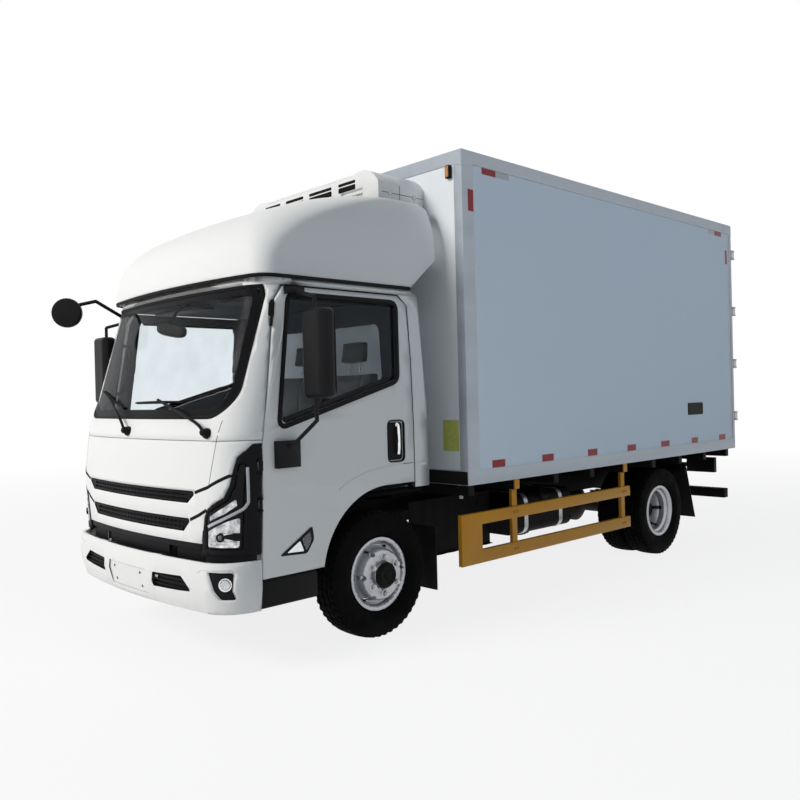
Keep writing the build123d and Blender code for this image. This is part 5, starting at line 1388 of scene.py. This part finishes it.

# %% [markdown]
# The refrigeration unit is a moulded cover: groups of dark slots with a mesh below let the
# condenser breathe, seams and latches mark its lid, and three hoses drop behind. The slots are
# only a few centimetres deep in the solid, so here they get dark linings, painted shade of deep
# slots, and slats.

# %% Refrigeration unit
UNIT_SKIN = skin_of("refrigeration_unit")
SLOT_GROUPS = ((-0.520, -0.330), (-0.260, -0.050), (0.020, 0.270), (0.345, 0.520))
SLOT_HEIGHTS, SLAT_HEIGHTS = ((2.896, 2.916), (2.853, 2.888)), (2.861, 2.8705, 2.880)
UNIT_SEAMS = ([(0.270, 2.800), (0.645, 2.800)], [(0.430, 2.750), (0.430, 2.856)])
HOSE_X, HOSE_R = (-0.60, -0.54, 0.58), 0.013
HOSE_PATH = ((0.60, 2.760), (0.605, 2.700), (0.632, 2.640), (0.638, 2.45), (0.636, 2.2))
slots, slats = bmesh.new(), bmesh.new()
for x0, x1 in SLOT_GROUPS:
    for row in SLOT_HEIGHTS:
        plate(slots, UNIT_SKIN, "front", eased(oblong(x0, x1, *row), 0.008), 0.001, WALL_STEP)
    for z in SLAT_HEIGHTS:
        strip(slats, UNIT_SKIN, "front", [(x0 + 0.006, z), (x1 - 0.006, z)], 0.004, 0.003, step=0.3)
    for k in range(1, 6):
        x = x0 + (x1 - x0) * k / 6
        strip(slats, UNIT_SKIN, "front", [(x, 2.898), (x, 2.914)], 0.005, 0.003)
# The slot linings are painted shade: dark plates laid in shallow slots.
make("unit_slot_shade", slots, "chassis", "black_plastic", SEAM_DARK_AND_PAINTED_SHADE)
make("unit_slats", slats, "chassis", "black_plastic")
seam = bmesh.new()
for side, _ in SIDES:
    for path in UNIT_SEAMS:
        strip(seam, UNIT_SKIN, side, path, 0.004, 0.0006, step=0.2)
make("unit_seams", seam, "chassis", "black_plastic", SEAM_DARK_AND_PAINTED_SHADE)
latches = bmesh.new()
for side, _ in SIDES:
    for y in (0.33, 0.55):
        plate(latches, UNIT_SKIN, side, eased(oblong(y, y + 0.030, 2.785, 2.815), 0.005), 0.004,
              WALL_STEP)
        rivet(latches, UNIT_SKIN, side, y + 0.015, 2.765, 0.007)
soften(make("unit_latches", latches, "chassis", "bare_steel"), 0.001)
hoses = bmesh.new()
for x in HOSE_X:
    tube(hoses, [at(x, y, z) for y, z in HOSE_PATH], HOSE_R, 12)
make("unit_hoses", hoses, "chassis", "black_plastic", RUBBER)
print("unit slots, seams, latches and hoses")

# %% [markdown]
# Behind, the lamp boards hold red, amber and clear lenses in one moulding, and each cargo door
# carries a rubber gasket near its edge and red tape. Lens ribs are real beads, so they catch the
# light. The bar below the box is striped red and white by sheets of tape.

# %% Rear lamps, gaskets and tapes
LENSES = (("red", (0.806, 0.940), RED_LENS), ("amber", (0.738, 0.800), AMBER_LENS),
          ("clear", (0.670, 0.732), None))
LENS_Z, LENS_THICK, LENS_RIBS, RIB_MARGIN = (0.646, 0.768), 0.007, 6, 0.008
MARKER = eased(oblong(0.981, 1.009, 2.897, 2.968), 0.006)
GASKET = eased(oblong(0.026, 1.010, 1.010, 2.960), 0.02)
DOOR_TAPES = ((0.30, 0.43, 1.045, 1.097), (0.56, 0.69, 1.045, 1.097),
              (0.85, 0.98, 2.88, 2.932), (0.93, 0.98, 2.735, 2.878))
STRIPES, STRIPE_WIDTH, STRIPE_START, STRIPE_Z = 16, 0.12, -0.96, (0.397, 0.443)
BOARD_SKIN = skin_of("signal_lamps")
for side, sign in SIDES:
    for name, (x0, x1), tint in LENSES:
        cover = bmesh.new()
        outline = mirrored(eased(oblong(x0, x1, *LENS_Z), 0.010), sign)
        plate(cover, BOARD_SKIN, "rear", outline, LENS_THICK, WALL_STEP)
        for k in range(LENS_RIBS):
            z = 0.660 + 0.019 * k
            edge, normal = lay(BOARD_SKIN, "rear", sign * (x0 + RIB_MARGIN), z)
            end, _ = lay(BOARD_SKIN, "rear", sign * (x1 - RIB_MARGIN), z)
            lift = normal * LENS_THICK
            bead(cover, [(edge + lift, normal), (end + lift, normal)], 0.006, 0.0012)
        soften(make(f"tail_lens_{name}_{side}", cover, "chassis", "lamp_clear", tint), 0.0015)
    marker = bmesh.new()
    plate(marker, BOARD_SKIN, "front", mirrored(MARKER, sign), 0.004, 0.1)
    soften(make("front_marker_lens_" + side, marker, "chassis", "lamp_clear", AMBER_LENS), 0.001)
    door_skin, door = skin_of("cargo_door_" + side), "cargo_door_" + side
    gasket = bmesh.new()
    strip(gasket, door_skin, "rear", mirrored(GASKET, sign), 0.020, 0.004, True, 0.2)
    make("door_gasket_" + side, gasket, door, "flap_rubber")
    tapes = bmesh.new()
    for spans in DOOR_TAPES:
        plate(tapes, door_skin, "rear", mirrored(oblong(*spans), sign), TAPE_THICK, WALL_STEP)
    make("door_tape_" + side, tapes, door, "box_panel", RED_TAPE)
stripes = {RED_TAPE: bmesh.new(), WHITE_TAPE: bmesh.new()}
BAR_SKIN = skin_of("rear_underrun_bar")
for k in range(STRIPES):
    x = STRIPE_START + STRIPE_WIDTH * k
    tape = (RED_TAPE, WHITE_TAPE)[k % 2]
    plate(stripes[tape], BAR_SKIN, "rear", oblong(x, x + STRIPE_WIDTH, *STRIPE_Z), TAPE_THICK, WALL_STEP)
make("bar_stripes_red", stripes[RED_TAPE], "chassis", "chassis_black", RED_TAPE)
make("bar_stripes_white", stripes[WHITE_TAPE], "chassis", "chassis_black", WHITE_TAPE)
print("rear lamps, gaskets and stripes")

# %% [markdown]
# Underneath, straps hold the tank, bands hold the silencer, and the battery box has a ribbed lid.
# A strap follows the tank's own section, so that section is walked once here and each strap is
# a bead along it. The silencer is round, so its band's path is a circle.

# %% Tank, silencer and battery box
TANK_MIDDLE, TANK_HALF, TANK_CORNER = (0.650, 0.560), (0.210, 0.150), 0.070
STRAP_BOLT = ((0.0, 0.014), (0.026, 0.014), (0.030, 0.009))
TANK_CAP = ((0.0, 0.052), (0.010, 0.052), (0.013, 0.047), (0.030, 0.046), (0.036, 0.040),
            (0.037, 0.012))
SILENCER_MIDDLE, SILENCER_R, BAND_STEPS = (-0.560, 0.520), 0.115, 40


def tank_section(y):
    """Points and outward normals round the tank's section, at one place along the truck."""
    spots = []
    for quarter, (sx, sz) in enumerate(((1, 1), (-1, 1), (-1, -1), (1, -1))):
        centre = Vector((TANK_MIDDLE[0] + sx * (TANK_HALF[0] - TANK_CORNER), y,
                         TANK_MIDDLE[1] + sz * (TANK_HALF[1] - TANK_CORNER)))
        for k in range(9):
            turn = math.radians(90 * quarter + 11.25 * k)
            out = Vector((math.cos(turn), 0, math.sin(turn)))
            spots.append((at(*(centre + TANK_CORNER * out)), out))
    return spots


straps = bmesh.new()
for y in (1.56, 2.00):
    bead(straps, tank_section(y), 0.045, 0.004, True)
    turned(straps, at(0.845, y, 0.560), (1, 0, 0), STRAP_BOLT, 6)
make("tank_straps", straps, "chassis", "bare_steel")
cap = bmesh.new()
turned(cap, at(0.8375, 1.78, 0.6875), (1, 0, 1), TANK_CAP, 40)
make("tank_cap", cap, "chassis", "black_plastic")
bands = bmesh.new()
for y in (0.790, 1.065, 1.350):
    middle = at(SILENCER_MIDDLE[0], y, SILENCER_MIDDLE[1])
    ways = [Vector((math.cos(a), 0, math.sin(a)))
            for a in (2 * math.pi * k / BAND_STEPS for k in range(BAND_STEPS))]
    bead(bands, [(middle + SILENCER_R * way, way) for way in ways], 0.030, 0.003, True)
make("silencer_bands", bands, "chassis", "bare_steel")
BATTERY_SKIN = skin_of("battery_box")
lid = bmesh.new()
plate(lid, BATTERY_SKIN, "top", eased(oblong(-0.856, -0.450, 1.656, 2.144), 0.012), 0.012, 0.6)
for y in spaced(1.72, 2.08, 0.09):
    strip(lid, BATTERY_SKIN, "right", [(y, 0.480), (y, 0.670)], 0.016, 0.005, step=0.3)
soften(make("battery_lid", lid, "chassis", "black_plastic"), 0.002)
print("tank straps and cap, silencer bands and battery lid")

# %% [markdown]
# A leaf spring is clamped to its axle by U-bolts: two legs with nuts, joined over the top. Legs
# and nuts are straight bars, and the top is a bent one, placed where a ray from above meets the
# spring. The guards are bolted to their posts, which reach up to the box floor.

# %% Spring clamps, guard bolts and step grips
AXLES_Y, SPRING_X, CLAMP_LEGS_X, CLAMP_APART, CLAMP_R = (0.0, 3.36), 0.319, (0.281, 0.357), 0.045, 0.007
CLAMP_TOP = ((0.281, -0.002), (0.285, 0.006), (0.353, 0.006), (0.357, -0.002))
SPRING_SKIN = skin_of("leaf_springs")
clamps = bmesh.new()
for axle_y in AXLES_Y:
    for _, sign in SIDES:
        for y in (axle_y - CLAMP_APART, axle_y + CLAMP_APART):
            top = lay(SPRING_SKIN, "top", sign * SPRING_X, y)[0]
            for x in CLAMP_LEGS_X:
                foot = Vector((sign * x, top.y, top.z))
                frustum(clamps, foot - Vector((0, 0, 0.110)), (0, 0, 1), CLAMP_R, CLAMP_R, 0.112, 12)
                frustum(clamps, foot - Vector((0, 0, 0.116)), (0, 0, 1), 0.013, 0.013, 0.014, 6)
            tube(clamps, [Vector((sign * x, top.y, top.z + rise)) for x, rise in CLAMP_TOP],
                 CLAMP_R, 10, 4)
make("spring_clamps", clamps, "chassis", "bare_steel")
bolts = bmesh.new()
GUARD_POSTS = (1.172, 2.598)
GUARD_SKIN = skin_of("side_guards")
for side, _ in SIDES:
    for y in GUARD_POSTS:
        for z in (0.386, 0.640):
            for dy in (-0.016, 0.016):
                spot, normal = lay(GUARD_SKIN, side, y + dy, z)
                turned(bolts, spot, normal, ((0.0, 0.011), (0.002, 0.011), (0.003, 0.008)), 16)
                frustum(bolts, spot + normal * 0.002, normal, 0.0085, 0.008, 0.006, 6)
make("guard_bolts", bolts, "chassis", "guard_yellow")
grips = bmesh.new()
STEP_SKIN = skin_of("side_steps")
for _, sign in SIDES:
    for k in range(5):
        x = sign * (0.896 + 0.0095 * k)
        strip(grips, STEP_SKIN, "top", [(x, -0.840), (x, -0.520)], 0.005, 0.003, step=0.4)
make("step_grips", grips, "chassis", "black_plastic")
heads = bmesh.new()
for side, _ in SIDES:
    for y in GUARD_POSTS:
        plate(heads, skin_of("box_floor"), side, oblong(y - 0.027, y + 0.027, 0.802, 0.874), 0.008, 0.08)
make("guard_post_heads", heads, "chassis", "guard_yellow")
print("spring clamps, guard bolts, post heads and step grips")

# %% [markdown]
# Dark sheets close what would else be see-through, painting the shade of the gaps behind them:
# one over the bumper, below the tilting cab, a short skirt under each lamp corner, and a ribbed
# splash sheet behind the left front wheel, a real part whose dark also paints the shade of the
# wheel well. A sheet is a loft: one flat section, repeated along its run. The door pillar gets a
# slim clip.

# %% Dark sheets and pillar clips
# Black as painted shade of the gap between bumper and cab.
sheet = bmesh.new()
# spans of X; between the tilt brackets a high back closes the gap, at the brackets only a ledge
SHEET_SPANS = ((-0.700, -0.455), (-0.378, 0.378), (0.455, 0.700))
LEDGE_SPANS = ((-0.455, -0.378), (0.378, 0.455))
HIGH_BACK = ((0.022, 0.590), (0.022, 0.595), (0.076, 0.595), (0.076, 0.666), (0.080, 0.666),
             (0.080, 0.590))
LOW_LEDGE = ((0.022, 0.590), (0.022, 0.595), (0.058, 0.595), (0.058, 0.590))
for spans, profile in ((SHEET_SPANS, HIGH_BACK), (LEDGE_SPANS, LOW_LEDGE)):
    for x0, x1 in spans:
        loft_rings(sheet, [[behind_bumper(x, depth, z) for depth, z in profile]
                           for x in spaced(x0, x1, 0.06)])
make("bumper_top_shade_sheet", sheet, "chassis", "black_plastic")
SURROUND_SKIN = skin_of("headlamp_surrounds")
# The skirts are painted shade under the lamp corners.
for side, sign in SIDES:
    skirt = bmesh.new()
    rings = []
    for turn in spaced(43, 56, 1.0):
        spot, out = round_cab(SURROUND_SKIN, sign * turn, 0.648)
        out = Vector((out.x, out.y, 0)).normalized()
        low = 0.604 if turn < 50 else 0.613
        rings.append([Vector((spot.x, spot.y, z)) - out * depth for depth, z in
                      ((0.006, 0.646), (0.006, low), (0.010, low), (0.010, 0.646))])
    loft_rings(skirt, rings)
    make("lamp_corner_shade_skirt_" + side, skirt, "cab", "black_plastic")
# Dark splash sheet: a real part, also painted shade of the wheel well.
splash = bmesh.new()
SPLASH_X, SPLASH_LOW, SPLASH_HIGH, SPLASH_RIB = 0.640, 0.345, 0.742, 0.006
SPLASH_SECTION = ((0.0, SPLASH_LOW), (0.030, SPLASH_LOW), (0.030, SPLASH_LOW + 0.004),
                  (0.004, SPLASH_LOW + 0.006), (0.004, SPLASH_HIGH), (0.0, SPLASH_HIGH))
rings = []
for k, y in enumerate(spaced(0.540, 1.390, 0.03)):
    rib = SPLASH_RIB if k % 4 in (1, 2) else 0.0
    rings.append([at(SPLASH_X + rib + x, y, z) for x, z in SPLASH_SECTION])
loft_rings(splash, rings)
for y in (0.700, 1.240):
    tube(splash, [at(0.448, y, 0.660), at(0.550, y, 0.660), at(SPLASH_X + 0.004, y, 0.660)], 0.012, 12, 3)
make("splash_and_shade_sheet", splash, "chassis", "flap_rubber")
clip = bmesh.new()
PILLAR_SKIN, CLIP_PATH = skin_of("cab_front"), ((0.906, -0.720, 2.013), (0.919, -0.742, 1.868))
for _, sign in SIDES:
    spots = [near(PILLAR_SKIN, sign * x, y, z) for x, y, z in along(CLIP_PATH, 8)]
    bead(clip, spots, 0.034, 0.006)
make("pillar_clips", clip, "cab", "black_plastic")
print("bumper sheet, lamp skirts, splash sheet and pillar clips")

# %% [markdown]
# Through the glass one sees seats, a dashboard and a wheel. A seat cushion is foam under a
# sewn cover, so it bulges between its seams. That could be sculpted, but Blender's Cloth does
# it: a slightly small block is remeshed into even squares, blown up with a little pressure
# and no gravity, and each point is kept from moving further than the block was drawn in.
# Sewn channels come last, as shallow valleys pressed into the swollen cover.

# %% Seats
BASE_TOP_Z, PAD_INSET, PAD_VOXEL, PAD_PRESSURE, PAD_FRAMES = 1.090, 0.022, 0.010, 4.0, 20
# name, X span, foot and head Z, front Y at foot and head, rear Y at foot and head, channels at X
CUSHION = ((1.090, 1.235), (-0.290, -0.290), (0.165, 0.165))
BACK_REST = ((1.205, 1.660), (0.152, 0.206), (0.290, 0.320))
HEADREST = ((1.680, 1.858), (0.212, 0.232), (0.320, 0.332))
DRIVER_X, DRIVER_SEWN = (0.180, 0.680), (0.295, 0.565)
BENCH_X, BENCH_SEWN = (-0.750, 0.090), (-0.57, -0.33, -0.09)
PADS = (("driver_cushion", DRIVER_X, *CUSHION, DRIVER_SEWN),
        ("driver_back", DRIVER_X, *BACK_REST, DRIVER_SEWN),
        ("driver_headrest", (0.300, 0.560), *HEADREST, ()),
        ("bench_cushion", BENCH_X, *CUSHION, BENCH_SEWN),
        ("bench_back", BENCH_X, *BACK_REST, BENCH_SEWN),
        ("bench_headrest_outer", (-0.690, -0.430), *HEADREST, ()),
        ("bench_headrest_inner", (-0.230, 0.030), *HEADREST, ()))


def block_mesh(name, xs, zs, fronts, rears, inset):
    """A closed block, drawn in all round, whose front and rear may lean."""
    bm = bmesh.new()
    rings = []
    for z, front, rear in ((zs[0] + inset, fronts[0], rears[0]), (zs[1] - inset, fronts[1], rears[1])):
        ring = oblong(xs[0] + inset, xs[1] - inset, front + inset, rear - inset)
        rings.append([at(x, y, z) for x, y in ring])
    loft_rings(bm, rings)
    mesh = bpy.data.meshes.new(name)
    bm.to_mesh(mesh)
    bm.free()
    return mesh


def as_seen(piece):
    """A new mesh with the piece's modifiers worked out."""
    worked_out = bpy.context.evaluated_depsgraph_get()
    return bpy.data.meshes.new_from_object(piece.evaluated_get(worked_out))


def swell(piece):
    """Blow a remeshed block up like a stuffed cover, no point moving further than PAD_INSET."""
    rest = [vertex.co.copy() for vertex in piece.data.vertices]
    cloth = piece.modifiers.new("stuffing", "CLOTH")
    cloth.settings.use_pressure = True
    cloth.settings.uniform_pressure_force = PAD_PRESSURE
    cloth.settings.effector_weights.gravity = 0.0
    cloth.point_cache.frame_start, cloth.point_cache.frame_end = 1, PAD_FRAMES
    for step in range(1, PAD_FRAMES + 1):
        bpy.context.scene.frame_set(step)
    swollen = as_seen(piece)
    piece.modifiers.remove(cloth)
    bpy.context.scene.frame_set(1)
    for vertex, start, moved in zip(piece.data.vertices, rest, swollen.vertices):
        way = moved.co - start
        vertex.co = start + way * min(1.0, PAD_INSET / max(way.length, 1e-9))
        vertex.co.z = max(vertex.co.z, BASE_TOP_Z)
    bpy.data.meshes.remove(swollen)


def press_channels(mesh, places, depth=0.009, half=0.016):
    """Sewn channels: valleys along the cushion at given X places."""
    for vertex in mesh.vertices:
        for x in places:
            off = abs(vertex.co.x - x)
            if off < half:
                vertex.co -= vertex.normal * depth * (1 - (off / half) ** 2)


for name, xs, zs, fronts, rears, channels in PADS:
    block = block_mesh("seat_" + name, xs, zs, fronts, rears, PAD_INSET)
    pad = bpy.data.objects.new("seat_" + name, block)
    bpy.context.scene.collection.objects.link(pad)
    squares = pad.modifiers.new("even_squares", "REMESH")
    squares.mode, squares.voxel_size = "VOXEL", PAD_VOXEL
    remeshed = as_seen(pad)
    pad.modifiers.remove(squares)
    pad.data = remeshed
    swell(pad)
    press_channels(pad.data, channels)
    finer = pad.modifiers.new("finer", "SUBSURF")
    finer.levels = finer.render_levels = 1
    pad.data.shade_smooth()
    pad.data.materials.clear()
    pad.data.materials.append(FINISH["seat_cloth"])
    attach(pad, "cab")
    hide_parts("seats")
print(len(PADS), "pads swollen by up to", PAD_INSET, "m")

# %% [markdown]
# Each cushion stands on a pressed pedestal with a recliner knob, and a headrest rides on two
# steel posts. The pedestal is drawn as rings of one rounded section that narrows downwards.

# %% Seat frames
# Z from the cab floor up, and how far the pedestal's section is drawn in there
PEDESTAL = ((0.890, 0.0), (0.905, 0.0), (0.915, 0.022), (1.050, 0.022), (1.065, 0.004), (1.0895, 0.004))
PEDESTAL_Y = (-0.228, 0.198)
RECLINER = ((0.0, 0.016), (0.012, 0.016), (0.014, 0.030), (0.030, 0.028), (0.033, 0.018))
POST_COLLAR = ((0.0, 0.013), (0.009, 0.013), (0.011, 0.009))
HEADREST_X, POST_APART = (0.430, -0.560, -0.100), 0.055
for name, (x0, x1) in (("driver", (0.210, 0.650)), ("bench", (-0.720, 0.060))):
    base = bmesh.new()
    rings = []
    for z, draw in PEDESTAL:
        ring = eased(oblong(x0 + draw, x1 - draw, PEDESTAL_Y[0] + draw, PEDESTAL_Y[1] - draw), 0.045)
        rings.append([at(x, y, z) for x, y in ring])
    loft_rings(base, rings)
    turned(base, at(x1 - 0.004, 0.130, 1.070), (1, 0, 0), RECLINER, 28)
    soften(make("seat_base_" + name, base, "cab", "dash_grey", replaces=["seats"]), 0.003)
posts = bmesh.new()
for x in HEADREST_X:
    for dx in (-POST_APART, POST_APART):
        frustum(posts, at(x + dx, 0.268, 1.630), (0, 0.02, 0.2), 0.006, 0.006, 0.080, 14)
        turned(posts, at(x + dx, 0.2665, 1.6475), (0, 0, 1), POST_COLLAR, 18)
make("headrest_posts", posts, "cab", "bare_steel", replaces=["seats"])
print("two pedestals and posts for", len(HEADREST_X), "headrests")

# %% [markdown]
# The dashboard gets what a driver reaches for: a hooded dial cluster, a screen, vents, a glove
# box lid, the wheel's padded hub with its two stalks, and a gear lever. The dashboard's panels
# are stencils laid on it from behind, and what stands free is turned or bent from bars.

# %% Dashboard, wheel and gear lever
DASH_SKIN = skin_of("dashboard")
DARK_SCREEN = finish("dark_display", ((0.006, 0.007, 0.009), (0.010, 0.012, 0.015)), (0.08, 0.14),
                     300.0, 0.01)
DIAL_RING = ((0.0, 0.056), (0.006, 0.055), (0.008, 0.050), (0.005, 0.047))
DASH_VENTS_X = ((0.650, 0.760), (0.190, 0.228), (-0.160, -0.122), (-0.760, -0.650))
HUB_PAD = ((0.0, 0.070), (0.012, 0.078), (0.022, 0.074), (0.030, 0.056), (0.033, 0.028))
STALK_PATH = ((0.010, 0), (0.07, 0.004), (0.13, 0.012), (0.165, 0.020))
STALK_RADII = [0.006] * 10 + [0.008] * 9
LEVER_GAITER = ((0.0, 0.070), (0.010, 0.068), (0.030, 0.040), (0.055, 0.024), (0.075, 0.014))
LEVER_KNOB = ((0.0, 0.012), (0.010, 0.022), (0.030, 0.026), (0.046, 0.020), (0.052, 0.008))
cluster = bmesh.new()
plate(cluster, DASH_SKIN, "rear", eased(oblong(0.255, 0.605, 1.185, 1.322), 0.03), 0.006, 0.4)
plate(cluster, DASH_SKIN, "rear", eased(oblong(-0.105, 0.165, 1.165, 1.325), 0.014), 0.008, 0.4)
make("dash_displays", cluster, "cab", "dash_grey", DARK_SCREEN)
trim = bmesh.new()
strip(trim, DASH_SKIN, "rear", eased(oblong(0.240, 0.620, 1.172, 1.334), 0.04), 0.018, 0.030, True)
strip(trim, DASH_SKIN, "rear", eased(oblong(-0.115, 0.175, 1.155, 1.335), 0.02), 0.012, 0.012, True)
for x in (0.345, 0.515):
    spot, normal = lay(DASH_SKIN, "rear", x, 1.252)
    turned(trim, spot + normal * 0.005, normal, DIAL_RING, 40)
for x0, x1 in DASH_VENTS_X:
    strip(trim, DASH_SKIN, "rear", eased(oblong(x0, x1, 1.215, 1.315), 0.012), 0.008, 0.008, True)
    for k in range(5):
        z = 1.229 + 0.018 * k
        strip(trim, DASH_SKIN, "rear", [(x0 + 0.006, z), (x1 - 0.006, z)], 0.006, 0.006)
strip(trim, DASH_SKIN, "rear", eased(oblong(-0.600, -0.200, 1.150, 1.300), 0.02), 0.005, 0.002, True)
strip(trim, DASH_SKIN, "top", [(-0.70, -0.93), (0.70, -0.93)], 0.030, 0.004, step=0.1)
make("dash_trim", trim, "cab", "black_plastic")
WHEEL_LEAN = math.radians(32)
WHEEL_AXIS = Vector((0, math.sin(WHEEL_LEAN), math.cos(WHEEL_LEAN)))
HUB = at(0.430, -0.500, 1.335)
pad = bmesh.new()
turned(pad, HUB + WHEEL_AXIS * 0.012, WHEEL_AXIS, HUB_PAD, 40)
make("wheel_hub_pad", pad, "cab", "dash_grey")
stalks = bmesh.new()
root = HUB - WHEEL_AXIS * 0.075
for _, sign in SIDES:
    tube(stalks, [root + Vector((sign * x, 0, z)) for x, z in STALK_PATH], STALK_RADII, 12)
make("column_stalks", stalks, "cab", "black_plastic")
lever = bmesh.new()
tube(lever, [at(0.120, -0.560, 0.880), at(0.120, -0.555, 1.000), at(0.122, -0.540, 1.130)], 0.008, 12)
turned(lever, at(0.120, -0.560, 0.888), (0, 0, 1), LEVER_GAITER, 28)
turned(lever, at(0.122, -0.541, 1.120), (0, 0.1, 1), LEVER_KNOB, 24)
make("gear_lever", lever, "cab", "black_plastic")
print("dashboard, wheel hub, stalks and gear lever")

# %% [markdown]
# Visors, an inner mirror and grab handles hang from the cab, and each door has an armrest, a
# pull and a pocket. The mirror's shell is a loft of rounded oblongs, each a circle pushed
# outwards to its corners, and the handles are bent bars between two spots of the pillar.

# %% Mirror, visors, handles and door cards
INNER_MIRROR, MIRROR_HALF, MIRROR_SQUARE, MIRROR_STEPS = at(-0.200, -0.735, 1.930), (0.135, 0.044), 0.7, 48
# how far each ring stands towards the driver, and its share of the full size
MIRROR_SHELL = ((-0.028, 0.55), (-0.022, 0.86), (-0.006, 1.0), (0.004, 1.0), (0.005, 0.94), (0.002, 0.90))
VISORS_X, VISOR_Z = ((0.130, 0.700), (-0.700, -0.130)), 2.070
VISOR_RINGS = ((0.0, 0.010), (0.004, 0.0), (0.016, 0.0), (0.020, 0.010))
ARMREST = eased([(-0.48, 1.19), (0.15, 1.22), (0.15, 1.29), (-0.48, 1.25)], 0.03)
SPEAKER = ((0.0, 0.072), (0.006, 0.072), (0.009, 0.066), (0.006, 0.060), (0.010, 0.030))
PULL_PATH = ((-0.075, -0.002), (-0.062, 0.016), (0.0, 0.022), (0.062, 0.016), (0.075, -0.002))


def squared(value):
    """A sine or cosine pushed outwards, so that a circle fills its corners."""
    return math.copysign(abs(value) ** MIRROR_SQUARE, value)


housing = bmesh.new()
face_out = Vector((-0.25, 0.968, -0.05)).normalized()
sideways = face_out.cross(Vector((0.2, 0, 1))).normalized()
upright = sideways.cross(face_out)
rings = []
for push, grow in MIRROR_SHELL:
    rings.append([INNER_MIRROR + face_out * push
                  + sideways * (MIRROR_HALF[0] * grow * squared(math.cos(a)))
                  + upright * (MIRROR_HALF[1] * grow * squared(math.sin(a)))
                  for a in (2 * math.pi * k / MIRROR_STEPS for k in range(MIRROR_STEPS))])
loft_rings(housing, rings)
hanger = near(skin_of("cab_roof"), -0.200, -0.60, 2.10)[0]
tube(housing, [INNER_MIRROR - face_out * 0.02 + upright * 0.02, INNER_MIRROR + Vector((0, 0.04, 0.12)),
               hanger + Vector((0, 0, 0.002))], 0.009, 12)
make("inner_mirror", housing, "cab", "black_plastic")
visors = bmesh.new()
for x0, x1 in VISORS_X:
    rings = []
    for lift, draw in VISOR_RINGS:
        flat = eased(oblong(x0 + draw, x1 - draw, -0.600 + draw, -0.450 - draw), 0.03)
        rings.append([at(x, y, VISOR_Z + lift) for x, y in flat])
    loft_rings(visors, rings)
    for x in (x0 + 0.05, x1 - 0.05):
        frustum(visors, at(x, -0.470, 2.080), (0, 0, 1), 0.010, 0.010, 0.030, 14)
make("sun_visors", visors, "cab", "dash_grey")
holds = bmesh.new()
for _, sign in SIDES:
    foot = near(PILLAR_SKIN, sign * 0.840, -0.770, 1.520)[0]
    head = near(PILLAR_SKIN, sign * 0.835, -0.690, 1.860)[0]
    inward = Vector((-sign * 0.045, 0.030, 0))
    tube(holds, [foot, foot + inward + Vector((0, 0, 0.03)), foot.lerp(head, 0.5) + inward * 1.2,
                 head + inward - Vector((0, 0, 0.03)), head], 0.012, 14)
make("pillar_holds", holds, "cab", "black_plastic")
LOOKS["inside_left"] = (lambda u, v: at(0.3, u, v), Vector((1, 0, 0)))
LOOKS["inside_right"] = (lambda u, v: at(-0.3, u, v), Vector((-1, 0, 0)))
for side, _ in SIDES:
    door_skin, look = skin_of("door_" + side), "inside_" + side
    card = bmesh.new()
    plate(card, door_skin, look, ARMREST, 0.045, 0.3)
    plate(card, door_skin, look, eased(oblong(-0.60, -0.06, 0.955, 1.075), 0.03), 0.014, 0.3)
    spot, normal = lay(door_skin, look, -0.640, 1.150)
    turned(card, spot, normal, SPEAKER, 36)
    soften(make("door_card_" + side, card, "cab_door_" + side, "dash_grey"), 0.008)
    pull = bmesh.new()
    spot, normal = lay(door_skin, look, -0.300, 1.330)
    tube(pull, [spot + Vector((0, y, 0)) + normal * rise for y, rise in PULL_PATH], 0.009, 12)
    make("door_pull_" + side, pull, "cab_door_" + side, "bare_steel", CHROME)
print("mirror, visors, handles and door cards")

# %% End
print("all pieces made")
